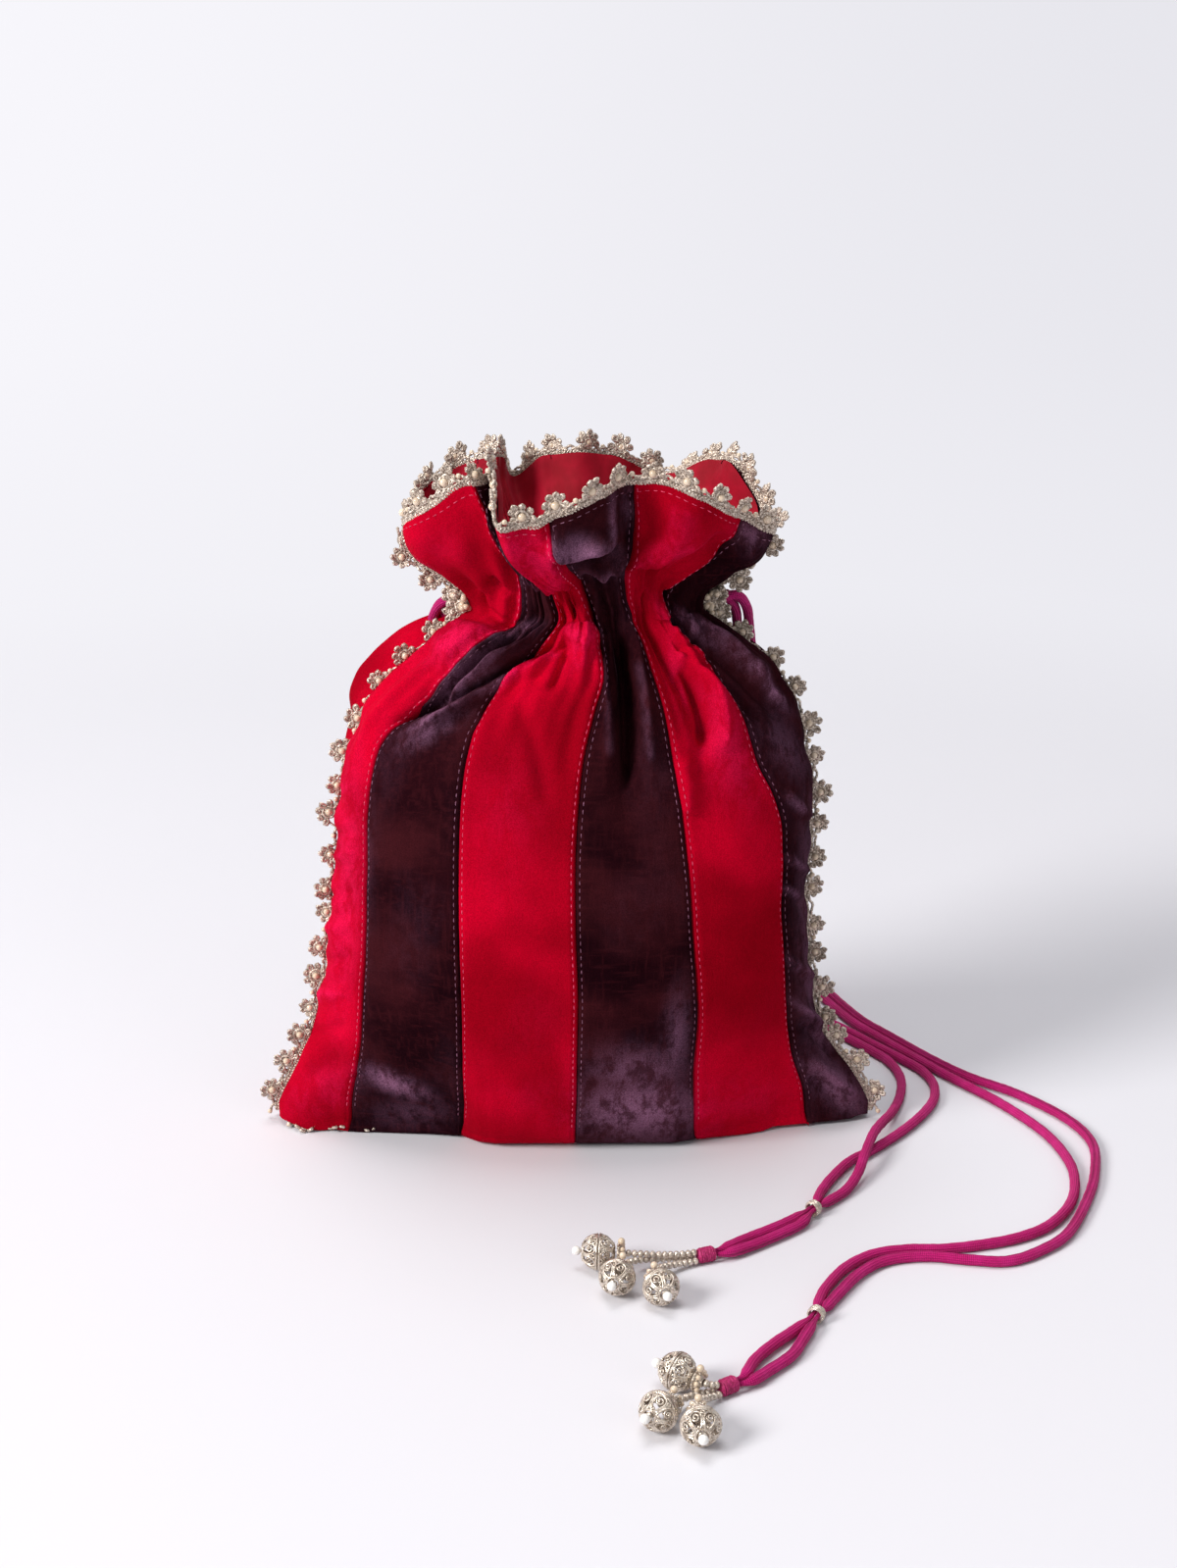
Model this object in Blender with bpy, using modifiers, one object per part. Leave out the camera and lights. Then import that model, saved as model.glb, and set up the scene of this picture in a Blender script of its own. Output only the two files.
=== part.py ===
"""Potli bag: two gathered velvet panels of six strips, a lining, lace, two drawcords and their tassels.

Metres, +Z up. The front faces -Y, and the origin is under the middle of the bag, on the surface it stands on.
"""

import math
from collections import namedtuple

import bmesh
import bpy
import numpy as np
from mathutils import Matrix, Vector

# Heights of the bag's rows, over the surface it stands on
SEAM_LIFT = 0.0016
HEEL_HEIGHT = 0.0045
BELLY_HEIGHT = 0.092
SHOULDER_HEIGHT = 0.163
NECK_HEIGHT = 0.193
MOUTH_HEIGHT = 0.2375
MOUTH_CORNER_HEIGHT = 0.219

# Half widths and half depths of the same rows
BASE_HALF_WIDTH = 0.108
HEEL_HALF_WIDTH = 0.1065
BELLY_HALF_WIDTH = 0.087
SHOULDER_HALF_WIDTH = 0.0755
NECK_HALF_WIDTH = 0.0445
MOUTH_HALF_WIDTH = 0.061
BOTTOM_LACE_REACH = 0.0102
FOOT_INNER_DEPTH = 0.0135
FOOT_OUTER_DEPTH = 0.021
HEEL_DEPTH = 0.029
BELLY_HALF_DEPTH = 0.045
SHOULDER_HALF_DEPTH = 0.034
NECK_HALF_DEPTH = 0.021
MOUTH_HALF_DEPTH = 0.041
NECK_SHIFT = 0.009
MOUTH_SHIFT = 0.005

# Cloth, seams and lining
STRIPS = 6
CLOTH = 0.0012
LINING = 0.0008
GAP = 0.0003
FULLNESS = 0.85
LINING_SIDE_ROOM = 0.006
LINING_FOLD_ROOM = 0.0095
EXIT_WIDTH = 0.009
CORNER_SETBACK = 0.05

LINING_REST = 0.0003

# Lace
LACE_THICKNESS = 0.0009
LACE_SEAT = 0.0007
LACE_BAND = 0.0038
LACE_SCALLOP = 0.0047
SCALLOP_PITCH = 0.0125
BOTTOM_LACE_INSET = 0.004

# Drawcords and keeper beads
CORD_DIAMETER = 0.0035
CORD_POINTS = 80
PINCHED_DIAMETER = 0.0015
PINCH_HALF_LENGTH = 0.003
WHIPPED_LENGTH = 0.0012
WHIPPED_END_LENGTH = 0.004
WHIPPED_END_SPREAD = 0.0006
PINCH_TAPER = 0.0055
BEND_WEIGHT = 0.03
LOOP_SIDE_INSET = 0.0072
LOOP_DEPTH_INSET = 0.0076
EXIT_INSET = 0.003
EXIT_FRONT = 0.0024
EXIT_BACK = 0.0067
KEEPER_LENGTH = 0.0026
KEEPER_WALL = 0.0005

# Tassels
WHIPPING_DIAMETER = 0.005
WHIPPING_LENGTH = 0.006
STRING_DIAMETER = 0.0024
SEED_BEAD_LENGTH = 0.0026
BALL_DIAMETER = 0.0118
CAGE_BAR = 0.0011
CAP_DIAMETER = 0.0066
CAP_LENGTH = 0.0022
END_PEARL_DIAMETER = 0.003
CAP_PEARL_DIAMETER = 0.0023

Row = namedtuple("Row", "height edge_height half_width half_depth shift lining_inset")
HEEL = Row(HEEL_HEIGHT, 0.0105, HEEL_HALF_WIDTH, HEEL_DEPTH, 0.0, 0.0022)
BELLY = Row(BELLY_HEIGHT, BELLY_HEIGHT, BELLY_HALF_WIDTH, BELLY_HALF_DEPTH, -0.0009, 0.0065)
SHOULDER = Row(SHOULDER_HEIGHT, SHOULDER_HEIGHT, SHOULDER_HALF_WIDTH, SHOULDER_HALF_DEPTH, 0.0024, 0.0135)
NECK = Row(NECK_HEIGHT, NECK_HEIGHT, NECK_HALF_WIDTH, NECK_HALF_DEPTH, NECK_SHIFT, 0.0114)
LIP = Row(MOUTH_HEIGHT, MOUTH_CORNER_HEIGHT, MOUTH_HALF_WIDTH, MOUTH_HALF_DEPTH, MOUTH_SHIFT, 0.0015)


def part_way(low, high, shares, shift, lining_inset):
    """A row between two others. Its heights, half width and half depth are shares of the way from low to high."""
    sizes = [a + (b - a) * share for a, b, share in zip(low, high, shares)]
    return Row(*sizes, shift, lining_inset)


ROWS = (
    Row(SEAM_LIFT, SEAM_LIFT, BASE_HALF_WIDTH, 0.0, 0.0, 0.002),
    Row(SEAM_LIFT, 0.0032, BASE_HALF_WIDTH, BOTTOM_LACE_REACH, 0.0, 0.002),
    Row(0.0, 0.0048, BASE_HALF_WIDTH, FOOT_INNER_DEPTH, 0.0, 0.002),
    Row(0.0, 0.0066, BASE_HALF_WIDTH, FOOT_OUTER_DEPTH, 0.0, 0.002),
    HEEL,
    part_way(HEEL, BELLY, (0.1314, 0.1166, 0.2051, 0.4063), -0.0005, 0.0026),
    part_way(HEEL, BELLY, (0.3486, 0.3252, 0.5385, 0.7000), -0.0012, 0.0032),
    part_way(HEEL, BELLY, (0.6343, 0.6196, 0.8718, 0.9063), -0.0018, 0.0042),
    BELLY,
    part_way(BELLY, SHOULDER, (0.4225, 0.4225, 0.1913, 0.1636), 0.0006, LINING_FOLD_ROOM),
    part_way(BELLY, SHOULDER, (0.7746, 0.7746, 0.5217, 0.5636), 0.0013, 0.0115),
    SHOULDER,
    part_way(SHOULDER, NECK, (0.4333, 0.4333, 0.3710, 0.3846), 0.005, 0.0160),
    part_way(SHOULDER, NECK, (0.7667, 0.7667, 0.7839, 0.7846), 0.0078, 0.0142),
    NECK,
    part_way(NECK, LIP, (0.1685, 0.2308, 0.1212, 0.0600), 0.0086, 0.0126),
    part_way(NECK, LIP, (0.3708, 0.4423, 0.5455, 0.3250), 0.0076, 0.0085),
    part_way(NECK, LIP, (0.5955, 0.6538, 0.9394, 0.6250), 0.0064, 0.0030),
    part_way(NECK, LIP, (0.8202, 0.8462, 1.0727, 0.8750), 0.0056, 0.0015),
    LIP,
)
HEEL_ROW, NECK_ROW, LIP_ROW = 4, 14, len(ROWS) - 1
GRID_ROWS = (0, 1, 2, 3, 4, 5, 6, 8, 9.5, 11, 12, 13, 13.35, 14.7, 16, 17, 18, 19)
STRIP_COLUMNS = 4

# Where the five seams of a panel lie, as shares of the half width, at rows of the bag
SEAMS = {
    0: (-0.74, -0.37, 0.0, 0.40, 0.765),
    6: (-0.81, -0.43, 0.015, 0.475, 0.845),
    10: (-0.82, -0.44, 0.035, 0.435, 0.775),
    12: (-0.66, -0.41, 0.085, 0.37, 0.70),
    14: (-0.60, -0.38, -0.03, 0.21, 0.52),
    19: (-0.64, -0.48, -0.22, 0.26, 0.83),
}

# A fold's middle runs from (across_a, row_a) to (across_b, row_b). It pushes the cloth out, or in if negative,
# and lets it droop by a share of the ruffle's height.
Fold = namedtuple("Fold", "across_a row_a across_b row_b half_width push droop")
NECK_FOLDS_FRONT = (
    Fold(-0.80, 9.0, -0.74, 15.6, 0.11, 0.0036, 0.0),
    Fold(-0.63, 9.6, -0.56, 15.0, 0.09, -0.0050, 0.0),
    Fold(-0.62, 10.2, -0.36, 13.9, 0.10, 0.0032, 0.0),
    Fold(-0.48, 9.8, -0.26, 13.0, 0.11, -0.0038, 0.0),
    Fold(-0.11, 10.4, -0.09, 15.4, 0.11, 0.0044, 0.0),
    Fold(0.17, 8.6, 0.15, 15.2, 0.10, -0.0066, 0.0),
    Fold(0.30, 10.4, 0.30, 15.0, 0.09, 0.0030, 0.0),
    Fold(0.47, 9.6, 0.42, 15.0, 0.09, -0.0050, 0.0),
    Fold(0.60, 10.0, 0.56, 15.2, 0.09, 0.0040, 0.0),
    Fold(0.86, 9.8, 0.68, 13.9, 0.10, -0.0052, 0.0),
    Fold(0.92, 11.0, 0.72, 15.0, 0.07, 0.0034, 0.0),
)
NECK_FOLDS_BACK = tuple(
    Fold(across + 0.05 * lean, 9.4, across * 0.94, 15.2, 0.12, 0.75 * push, 0.0)
    for across, lean, push in (
        (-0.82, -1, 0.0034), (-0.66, -1, -0.0048), (-0.48, -1, 0.0038), (-0.30, 0, -0.0056), (-0.11, 0, 0.0036),
        (0.08, 0, -0.0050), (0.27, 0, 0.0040), (0.46, 1, -0.0052), (0.64, 1, 0.0034), (0.82, 1, -0.0044),
    )
)
RUFFLE_FRONT = (
    Fold(-0.84, 15.0, -0.84, 19, 0.15, 0.0040, 0.045),
    Fold(-0.50, 15.0, -0.52, 19, 0.17, -0.0105, 0.0),
    Fold(-0.19, 15.0, -0.20, 19, 0.19, 0.0130, 0.247),
    Fold(0.02, 15.0, 0.02, 19, 0.13, -0.0040, 0.0),
    Fold(0.16, 15.0, 0.15, 19, 0.16, 0.0090, 0.337),
    Fold(0.34, 15.0, 0.34, 19, 0.14, -0.0060, 0.0),
    Fold(0.54, 15.0, 0.52, 19, 0.17, 0.0075, 0.0),
    Fold(0.80, 15.0, 0.80, 19, 0.16, 0.0070, 0.157),
)
RUFFLE_BACK = tuple(
    Fold(across, 15.0, across, 19, 0.17, push, droop)
    for across, push, droop in (
        (-0.80, 0.0070, 0.067), (-0.52, -0.0060, 0.0), (-0.20, 0.0122, 0.135),
        (0.12, -0.0050, 0.0), (0.42, 0.0080, 0.112), (0.74, -0.0050, 0.0),
    )
)
NECK_FOLDS = {-1: NECK_FOLDS_FRONT, 1: NECK_FOLDS_BACK}
RUFFLES = {-1: RUFFLE_FRONT, 1: RUFFLE_BACK}

# Routes of the cords outside the bag, in millimetres, from the neck to the tassel
RIGHT_DROP = (
    (57.5, 4.6, 195.0), (63.5, 8.0, 191.0), (65.0, 15.0, 182.0), (64.5, 24.6, 170.0), (65.5, 31.2, 152.0),
    (66.5, 34.6, 128.0), (68.0, 36.0, 98.0), (70.0, 37.5, 62.0), (72.5, 41.0, 32.0), (75.0, 49.0, 14.0),
    (77.5, 62.0, 8.0), (79.5, 76.0, 6.6), (81.0, 90.0, 6.2), (82.5, 102.0, 5.0), (85.0, 115.0, 2.4),
)
RIGHT_OUTER = (
    (90.0, 128.0), (97.5, 129.5), (102.6, 122.5), (109.0, 102.7), (116.2, 84.0), (124.8, 69.4), (138.6, 46.8),
    (150.7, 30.5), (166.3, 15.6), (180.0, -4.5), (185.2, -24.0), (181.4, -46.0), (174.4, -66.0), (163.0, -89.0),
    (150.9, -101.0), (139.8, -107.0), (128.0, -106.2), (114.0, -103.9), (100.8, -106.6), (91.5, -114.6),
    (84.0, -126.0), (79.0, -134.5),
)
RIGHT_INNER = (
    (88.0, 122.5), (94.0, 124.5), (98.4, 120.6), (104.9, 101.0), (112.1, 82.3), (120.6, 67.3), (134.6, 44.2),
    (146.0, 26.5), (158.4, 7.8), (169.8, -16.0), (174.0, -38.0), (172.4, -55.5), (167.2, -70.5), (157.6, -84.0),
    (146.0, -92.0), (133.1, -96.6), (120.4, -99.3), (109.0, -99.6), (97.6, -102.6), (87.6, -111.0),
    (80.0, -123.3), (76.6, -132.5),
)
RIGHT_KEEPER = (75.1, -140.5)
RIGHT_KEEPER_AIM = (-0.45, -0.89)
RIGHT_OUTER_END = ((70.6, -151.8), (65.8, -162.0), (58.6, -170.0))
RIGHT_INNER_END = ((68.6, -147.6), (61.0, -156.0), (54.6, -164.8))
RIGHT_WHIPPING = (48.2, -177.6)
RIGHT_WHIPPING_AIM = (-0.84, -0.54)

LEFT_DROP = (
    (-39.5, 4.6, 191.0), (-48.0, 9.0, 188.0), (-57.0, 20.0, 178.0), (-59.0, 27.5, 164.0), (-60.0, 34.0, 145.0),
    (-58.0, 38.0, 118.0), (-57.5, 40.5, 88.0), (-56.5, 42.5, 52.0), (-54.0, 46.5, 24.0), (-49.0, 54.0, 8.0),
    (-40.0, 61.0, 2.2),
)
LEFT_OUTER = (
    (-20.0, 72.4), (6.0, 80.4), (34.0, 87.0), (60.0, 91.8), (82.0, 93.5), (95.0, 90.2), (107.0, 76.6),
    (119.6, 57.8), (127.2, 46.6), (133.2, 36.6), (135.9, 25.0), (134.4, 12.6), (129.6, 1.6), (121.9, -10.5),
    (112.4, -22.6), (104.4, -31.3), (96.9, -38.6), (89.8, -50.0), (84.8, -60.5),
)
LEFT_INNER = (
    (-19.0, 68.0, 1.8), (7.0, 76.0, 1.8), (34.6, 82.6, 1.8), (60.0, 87.4, 1.8), (80.0, 89.0, 1.8),
    (92.0, 86.0, 1.8), (103.4, 73.6, 1.8), (115.8, 55.4, 1.8), (121.8, 44.6, 1.8), (124.2, 30.1, 1.8),
    (121.8, 14.0, 1.9), (116.8, -1.0, 2.6), (111.8, -13.0, 4.6), (107.6, -23.0, 5.8), (104.6, -32.0, 6.0),
    (101.8, -41.0, 5.6), (98.2, -51.0, 3.4), (93.2, -60.0, 2.0), (87.0, -67.2, 2.0),
)
LEFT_KEEPER = (80.8, -73.9)
LEFT_KEEPER_AIM = (-0.62, -0.785)
LEFT_OUTER_END = ((73.4, -80.2), (66.6, -86.0), (57.4, -92.8))
LEFT_INNER_END = ((76.0, -82.9), (69.4, -89.0), (60.0, -96.4))
LEFT_WHIPPING = (46.0, -103.2)
LEFT_WHIPPING_AIM = (-0.93, -0.36)

# A drop's ball: where its middle stands, and the way its end pearl points
LEFT_DROPS = (
    ((8.5, -108.7), (-1.0, 0.05, 0.03)),
    ((14.3, -124.5), (-0.25, -0.96, 0.11)),
    ((27.9, -130.4), (0.25, -0.96, 0.10)),
)
RIGHT_DROPS = (
    ((31.2, -177.4), (-0.84, 0.54, 0.07)),
    ((25.1, -197.3), (-0.56, -0.80, 0.18)),
    ((36.6, -204.3), (0.05, -0.99, 0.02)),
)

MM = 0.001
STEP = 1e-3
SEAM_REACH = 0.02


def clear_scene():
    for thing in list(bpy.data.objects):
        bpy.data.objects.remove(thing)


def make_material(name, colour, roughness, metallic):
    made = bpy.data.materials.new(name)
    made.use_nodes = True
    shader = made.node_tree.nodes["Principled BSDF"]
    shader.inputs["Base Color"].default_value = (*colour, 1.0)
    shader.inputs["Roughness"].default_value = roughness
    shader.inputs["Metallic"].default_value = metallic
    return made


def monotone(knots, values, at):
    """A smooth curve through the values that never swings past them."""
    knots = np.asarray(knots, float)
    values = np.asarray(values, float)
    at = np.clip(np.asarray(at, float), knots[0], knots[-1])
    spans = np.diff(knots)
    slopes = np.diff(values) / spans
    tangents = np.empty(len(knots))
    tangents[0] = slopes[0]
    tangents[-1] = slopes[-1]
    turn = slopes[:-1] * slopes[1:] > 0
    mean = np.where(turn, slopes[:-1] + slopes[1:], 1.0)
    tangents[1:-1] = np.where(turn, 2 * slopes[:-1] * slopes[1:] / mean, 0.0)
    i = np.clip(np.searchsorted(knots, at, side="right") - 1, 0, len(spans) - 1)
    h = spans[i]
    t = (at - knots[i]) / h
    return (
        values[i] * (1 + 2 * t) * (1 - t) ** 2
        + tangents[i] * h * t * (1 - t) ** 2
        + values[i + 1] * t * t * (3 - 2 * t)
        + tangents[i + 1] * h * t * t * (t - 1)
    )


def ramp(low, high, at):
    t = np.clip((at - low) / (high - low), 0.0, 1.0)
    return t * t * (3 - 2 * t)


def column(field, row):
    return monotone(range(len(ROWS)), [getattr(each, field) for each in ROWS], row)


def section_angle(across, row):
    """The angle round the bag's section: -90 degrees at the left seam, 90 at the right one."""
    seam_rows = sorted(SEAMS)
    knots = np.linspace(-1, 1, STRIPS + 1)
    angles = [np.full(np.shape(row), -math.pi / 2)]
    for seam in range(STRIPS - 1):
        angles.append(monotone(seam_rows, [math.asin(SEAMS[r][seam]) for r in seam_rows], row))
    angles.append(np.full(np.shape(row), math.pi / 2))
    out = np.empty(np.shape(across))
    for spot in np.ndindex(out.shape):
        out[spot] = monotone(knots, [angle[spot] for angle in angles], across[spot])
    return out


def smooth_skin(across, row, side, inset=0.0, side_inset=0.0):
    """The bag's outline without folds. side is -1 for the front panel and 1 for the back one."""
    angle = section_angle(across, row)
    half_width = column("half_width", row) - inset - side_inset
    half_depth = np.maximum(column("half_depth", row) - inset, 0.0)
    x = column("shift", row) + half_width * np.sin(angle)
    full_depth = np.where(row < HEEL_ROW, np.maximum(half_depth, HEEL_DEPTH - inset), half_depth)
    out = np.minimum(half_depth, full_depth * np.maximum(np.cos(angle), 0.0) ** FULLNESS)
    middle = 1 - ramp(0.72, 1.0, np.abs(across))
    z = column("edge_height", row) * (1 - middle) + column("height", row) * middle
    under_lace = SEAM_LIFT * (1 - ramp(BOTTOM_LACE_REACH, FOOT_INNER_DEPTH, out))
    z = np.maximum(z, under_lace)
    return np.stack([x, side * (GAP / 2 + out), z], axis=-1)


def fold_strength(fold, across, row):
    t = (row - fold.row_a) / (fold.row_b - fold.row_a)
    inside = (t > 0) & (t <= 1)
    t = np.clip(t, 0.0, 1.0)
    along = ramp(0.0, 1.0, t) if fold.row_b >= LIP_ROW else np.sin(math.pi * t) ** 1.2
    middle = fold.across_a + (fold.across_b - fold.across_a) * t
    away = np.clip(np.abs(across - middle) / fold.half_width, 0.0, 1.0)
    return np.where(inside, along * 0.5 * (1 + np.cos(math.pi * away)), 0.0)


def outward(surface, across, row, side):
    """The unit normal of a surface function, away from the bag's inside."""
    low_row = np.clip(row - STEP, 0, LIP_ROW)
    high_row = np.clip(row + STEP, 0, LIP_ROW)
    low_across = np.clip(across - STEP, -1, 1)
    high_across = np.clip(across + STEP, -1, 1)
    up = surface(across, high_row, side) - surface(across, low_row, side)
    right = surface(high_across, row, side) - surface(low_across, row, side)
    normal = np.cross(right, up) * -side
    return normal / np.linalg.norm(normal, axis=-1, keepdims=True)


def skin(across, row, side, folds=NECK_FOLDS):
    """The outer face of the velvet, with its folds."""
    across, row = np.broadcast_arrays(np.asarray(across, float), np.asarray(row, float))
    point = smooth_skin(across, row, side)
    normal = outward(smooth_skin, across, row, side)
    fade = 1 - ramp(0.90, 1.0, np.abs(across))
    ruffle_height = MOUTH_HEIGHT - NECK_HEIGHT
    for fold in (*folds[side], *RUFFLES[side]):
        strength = (fold_strength(fold, across, row) * fade)[..., None]
        point = point + strength * (fold.push * normal - np.array([0.0, 0.0, fold.droop * ruffle_height]))
    return point


def ruffle_skin(across, row, side):
    return skin(across, row, side, folds={-1: (), 1: ()})


def seam_setback(across, row, side):
    """How far a strip's edge stays back from the seam, as a share of the panel."""
    step = 0.01
    ends = skin(np.clip(across + step, -1, 1), row, side) - skin(np.clip(across - step, -1, 1), row, side)
    reach = np.linalg.norm(ends, axis=-1) / (np.clip(across + step, -1, 1) - np.clip(across - step, -1, 1))
    return 0.75 * GAP / reach


def cord_exit(row):
    """1 at the rows where the back panel leaves the side seam open for a cord, and 0 elsewhere."""
    return ramp(12.95, 13.35, row) * (1 - ramp(14.7, 15.3, row))


def exit_setback(row, side_of_bag):
    """How far across the back panel the opening for the cord reaches, from its side seam."""
    tries = side_of_bag * np.linspace(1.0, 0.6, 161)
    depth = skin(tries, np.full(tries.shape, float(row)), 1)[:, 1]
    return 1.0 - abs(tries[np.argmax(depth > EXIT_WIDTH)])


def strip_edges(index, side):
    """The left and right edge of a strip at each row of the grid, as shares of the panel."""
    rows = np.array(GRID_ROWS, float)
    left = np.full(len(rows), -1 + 2 * index / STRIPS)
    right = np.full(len(rows), -1 + 2 * (index + 1) / STRIPS)
    corner = CORNER_SETBACK * (1 - ramp(1.0, 5.0, rows))
    if index > 0:
        left += seam_setback(left, rows, side)
    else:
        left += corner + (cord_exit(rows) * exit_setback(NECK_ROW, -1) if side > 0 else 0.0)
    if index < STRIPS - 1:
        right -= seam_setback(right, rows, side)
    else:
        right -= corner + (cord_exit(rows) * exit_setback(NECK_ROW, 1) if side > 0 else 0.0)
    return left, right


def add_mesh(name, points, faces, material, collection):
    """A named object with its faces turned outwards."""
    made = bmesh.new()
    corners = [made.verts.new(point) for point in points]
    for face in faces:
        made.faces.new([corners[i] for i in face])
    bmesh.ops.recalc_face_normals(made, faces=made.faces)
    mesh = bpy.data.meshes.new(name)
    made.to_mesh(mesh)
    made.free()
    mesh.shade_smooth()
    mesh.set_sharp_from_angle(angle=math.radians(40))
    mesh.materials.append(material)
    thing = bpy.data.objects.new(name, mesh)
    collection.objects.link(thing)
    return thing


def grid_faces(rows, columns, start, ring):
    """Triangles over a grid of points that starts at an index, all cut the same way, so that layers nest.

    A ring's last column joins its first.
    """
    wide = columns if ring else columns - 1
    for i in range(rows - 1):
        low, high = start + i * columns, start + (i + 1) * columns
        for j in range(wide):
            k = (j + 1) % columns
            yield low + j, low + k, high + k
            yield low + j, high + k, high + j


def slab(name, outer, inner, material, collection, ring=False, floored=False):
    """A closed wall between two grids of points. A floored one closes its bottom row across instead."""
    rows, columns = outer.shape[:2]
    count = rows * columns
    points = np.concatenate([outer.reshape(-1, 3), inner.reshape(-1, 3)])
    faces = list(grid_faces(rows, columns, 0, ring))
    faces += [face[::-1] for face in grid_faces(rows, columns, count, ring)]
    top = (rows - 1) * columns
    wide = columns if ring else columns - 1
    for j in range(wide):
        k = (j + 1) % columns
        faces.append((top + j, top + k, count + top + k, count + top + j))
        if not floored:
            faces.append((k, j, count + j, count + k))
    if floored:
        for j in range(columns // 2 - 1):
            across = (j, columns - 1 - j, columns - 2 - j, j + 1)
            faces.append(across)
            faces.append(tuple(count + i for i in across[::-1]))
    if not ring:
        for i in range(rows - 1):
            low, high = i * columns, (i + 1) * columns
            faces.append((low, high, count + high, count + low))
            low, high = low + columns - 1, high + columns - 1
            faces.append((high, low, count + low, count + high))
    return add_mesh(name, points, faces, material, collection)


def add_strip(index, side, material, collection):
    rows = np.array(GRID_ROWS, float)
    left, right = strip_edges(index, side)
    share = np.linspace(0, 1, STRIP_COLUMNS + 1)[::-side]
    across = left[:, None] + (right - left)[:, None] * share
    row = np.broadcast_to(rows[:, None], across.shape)
    outer = skin(across, row, side)
    seams = np.round((across + 1) * STRIPS / 2) * 2 / STRIPS - 1
    facing = np.where(np.abs(across - seams) < SEAM_REACH, seams, across)
    inner = outer - CLOTH * outward(skin, facing, row, side)
    inner[..., 2] = np.maximum(inner[..., 2], CLOTH)
    name = f"{'front' if side < 0 else 'back'}_strip_{index + 1}"
    slab(name, outer, inner, material, collection)


def lining_face(across, row, side, depth):
    """A face of the lining: inside all folds in the body, and close behind the velvet at the lip."""
    inset = column("lining_inset", row) + depth
    side_room = LINING_SIDE_ROOM * (1 - ramp(13.0, 15.0, row))
    body = smooth_skin(across, row, side, inset, side_room)
    floor = SEAM_LIFT + CLOTH + GAP + LINING_REST + depth
    body[..., 2] = np.maximum(body[..., 2] + (CLOTH + GAP + depth) * (1 - ramp(4.0, 8.0, row)), floor)
    lip = ruffle_skin(across, row, side) - (CLOTH + 2 * GAP + depth) * outward(ruffle_skin, across, row, side)
    share = ramp(15.6, 17.4, row)[..., None]
    return body * (1 - share) + lip * share


def add_lining(material, collection):
    rows = np.array((1.2, 4, 8, 11, 13, 15, 16, 17, 18, 19), float)
    share = np.linspace(-1, 1, STRIPS * STRIP_COLUMNS + 1)
    row, across = np.meshgrid(rows, share, indexing="ij")
    faces = []
    for depth in (0.0, LINING):
        front = lining_face(across, row, -1, depth)
        back = lining_face(across, row, 1, depth)
        faces.append(np.concatenate([front, back[:, ::-1]], axis=1))
    slab("lining", faces[0], faces[1], material, collection, ring=True, floored=True)


def scallop_heights(lengths, repeats):
    """How far the lace stands out at each length along it."""
    phase = math.pi * repeats * lengths / lengths[-1]
    return LACE_BAND + LACE_SCALLOP * np.abs(np.sin(phase))


def lengths_along(points):
    steps = np.linalg.norm(np.diff(points, axis=0), axis=1)
    return np.concatenate([[0.0], np.cumsum(steps)])


def evenly(points, count, *others):
    """The polyline, and what goes with its points, at evenly spaced lengths."""
    lengths = lengths_along(points)
    targets = np.linspace(0, lengths[-1], count)
    out = []
    for values in (points, *others):
        out.append(np.stack([np.interp(targets, lengths, values[:, k]) for k in range(3)], axis=1))
    return out


def lace_band(name, base, away, face, material, collection, ring=False):
    """A scalloped strip of lace: away is the way it stands out, and face the way its side looks."""
    total = lengths_along(base)[-1]
    repeats = max(1, round(total / SCALLOP_PITCH))
    count = repeats * 3 + 1
    base, away, face = evenly(base, count, away, face)
    away /= np.linalg.norm(away, axis=1, keepdims=True)
    face /= np.linalg.norm(face, axis=1, keepdims=True)
    heights = scallop_heights(lengths_along(base), repeats)[:, None]
    grid = np.stack([base + away * LACE_SEAT, base + away * heights])
    if ring:
        grid, face = grid[:, :-1], face[:-1]
    half = face * LACE_THICKNESS / 2
    slab(name, grid + half, grid - half, material, collection, ring)


def add_mouth_lace(material, collection):
    share = np.linspace(-1, 1, STRIPS * STRIP_COLUMNS + 1)
    row = np.full(share.shape, float(LIP_ROW))
    bases, aways, faces = [], [], []
    for side in (-1, 1):
        point = ruffle_skin(share, row, side)
        normal = outward(ruffle_skin, share, row, side)
        up = point - ruffle_skin(share, row - 0.2, side)
        base = point - normal * (CLOTH - LACE_THICKNESS / 2)
        order = slice(None) if side < 0 else slice(None, None, -1)
        bases.append(base[order])
        aways.append(up[order])
        faces.append(normal[order])
    base = np.concatenate([*bases, bases[0][:1]])
    away = np.concatenate([*aways, aways[0][:1]])
    face = np.concatenate([*faces, faces[0][:1]])
    lace_band("mouth_lace", base, away, face, material, collection, ring=True)


def add_side_lace(side_of_bag, material, collection):
    row = np.array(GRID_ROWS[1:], float)
    base = smooth_skin(np.full(row.shape, float(side_of_bag)), row, -1)
    base[:, 1] = 0.0
    along = np.gradient(base, axis=0)
    away = np.cross((0.0, 1.0, 0.0), along) * side_of_bag
    face = np.tile((0.0, 1.0, 0.0), (len(row), 1))
    name = "side_lace_left" if side_of_bag < 0 else "side_lace_right"
    lace_band(name, base, away, face, material, collection)


def add_bottom_lace(material, collection):
    reach = BASE_HALF_WIDTH - BOTTOM_LACE_INSET
    x = np.linspace(-reach, reach, 40)
    middle = GAP + LACE_THICKNESS / 2
    base = np.stack([x, np.zeros(len(x)), np.full(len(x), middle)], axis=1)
    away = np.tile((0.0, -1.0, 0.0), (len(x), 1))
    face = np.tile((0.0, 0.0, 1.0), (len(x), 1))
    lace_band("bottom_lace", base, away, face, material, collection)


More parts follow.
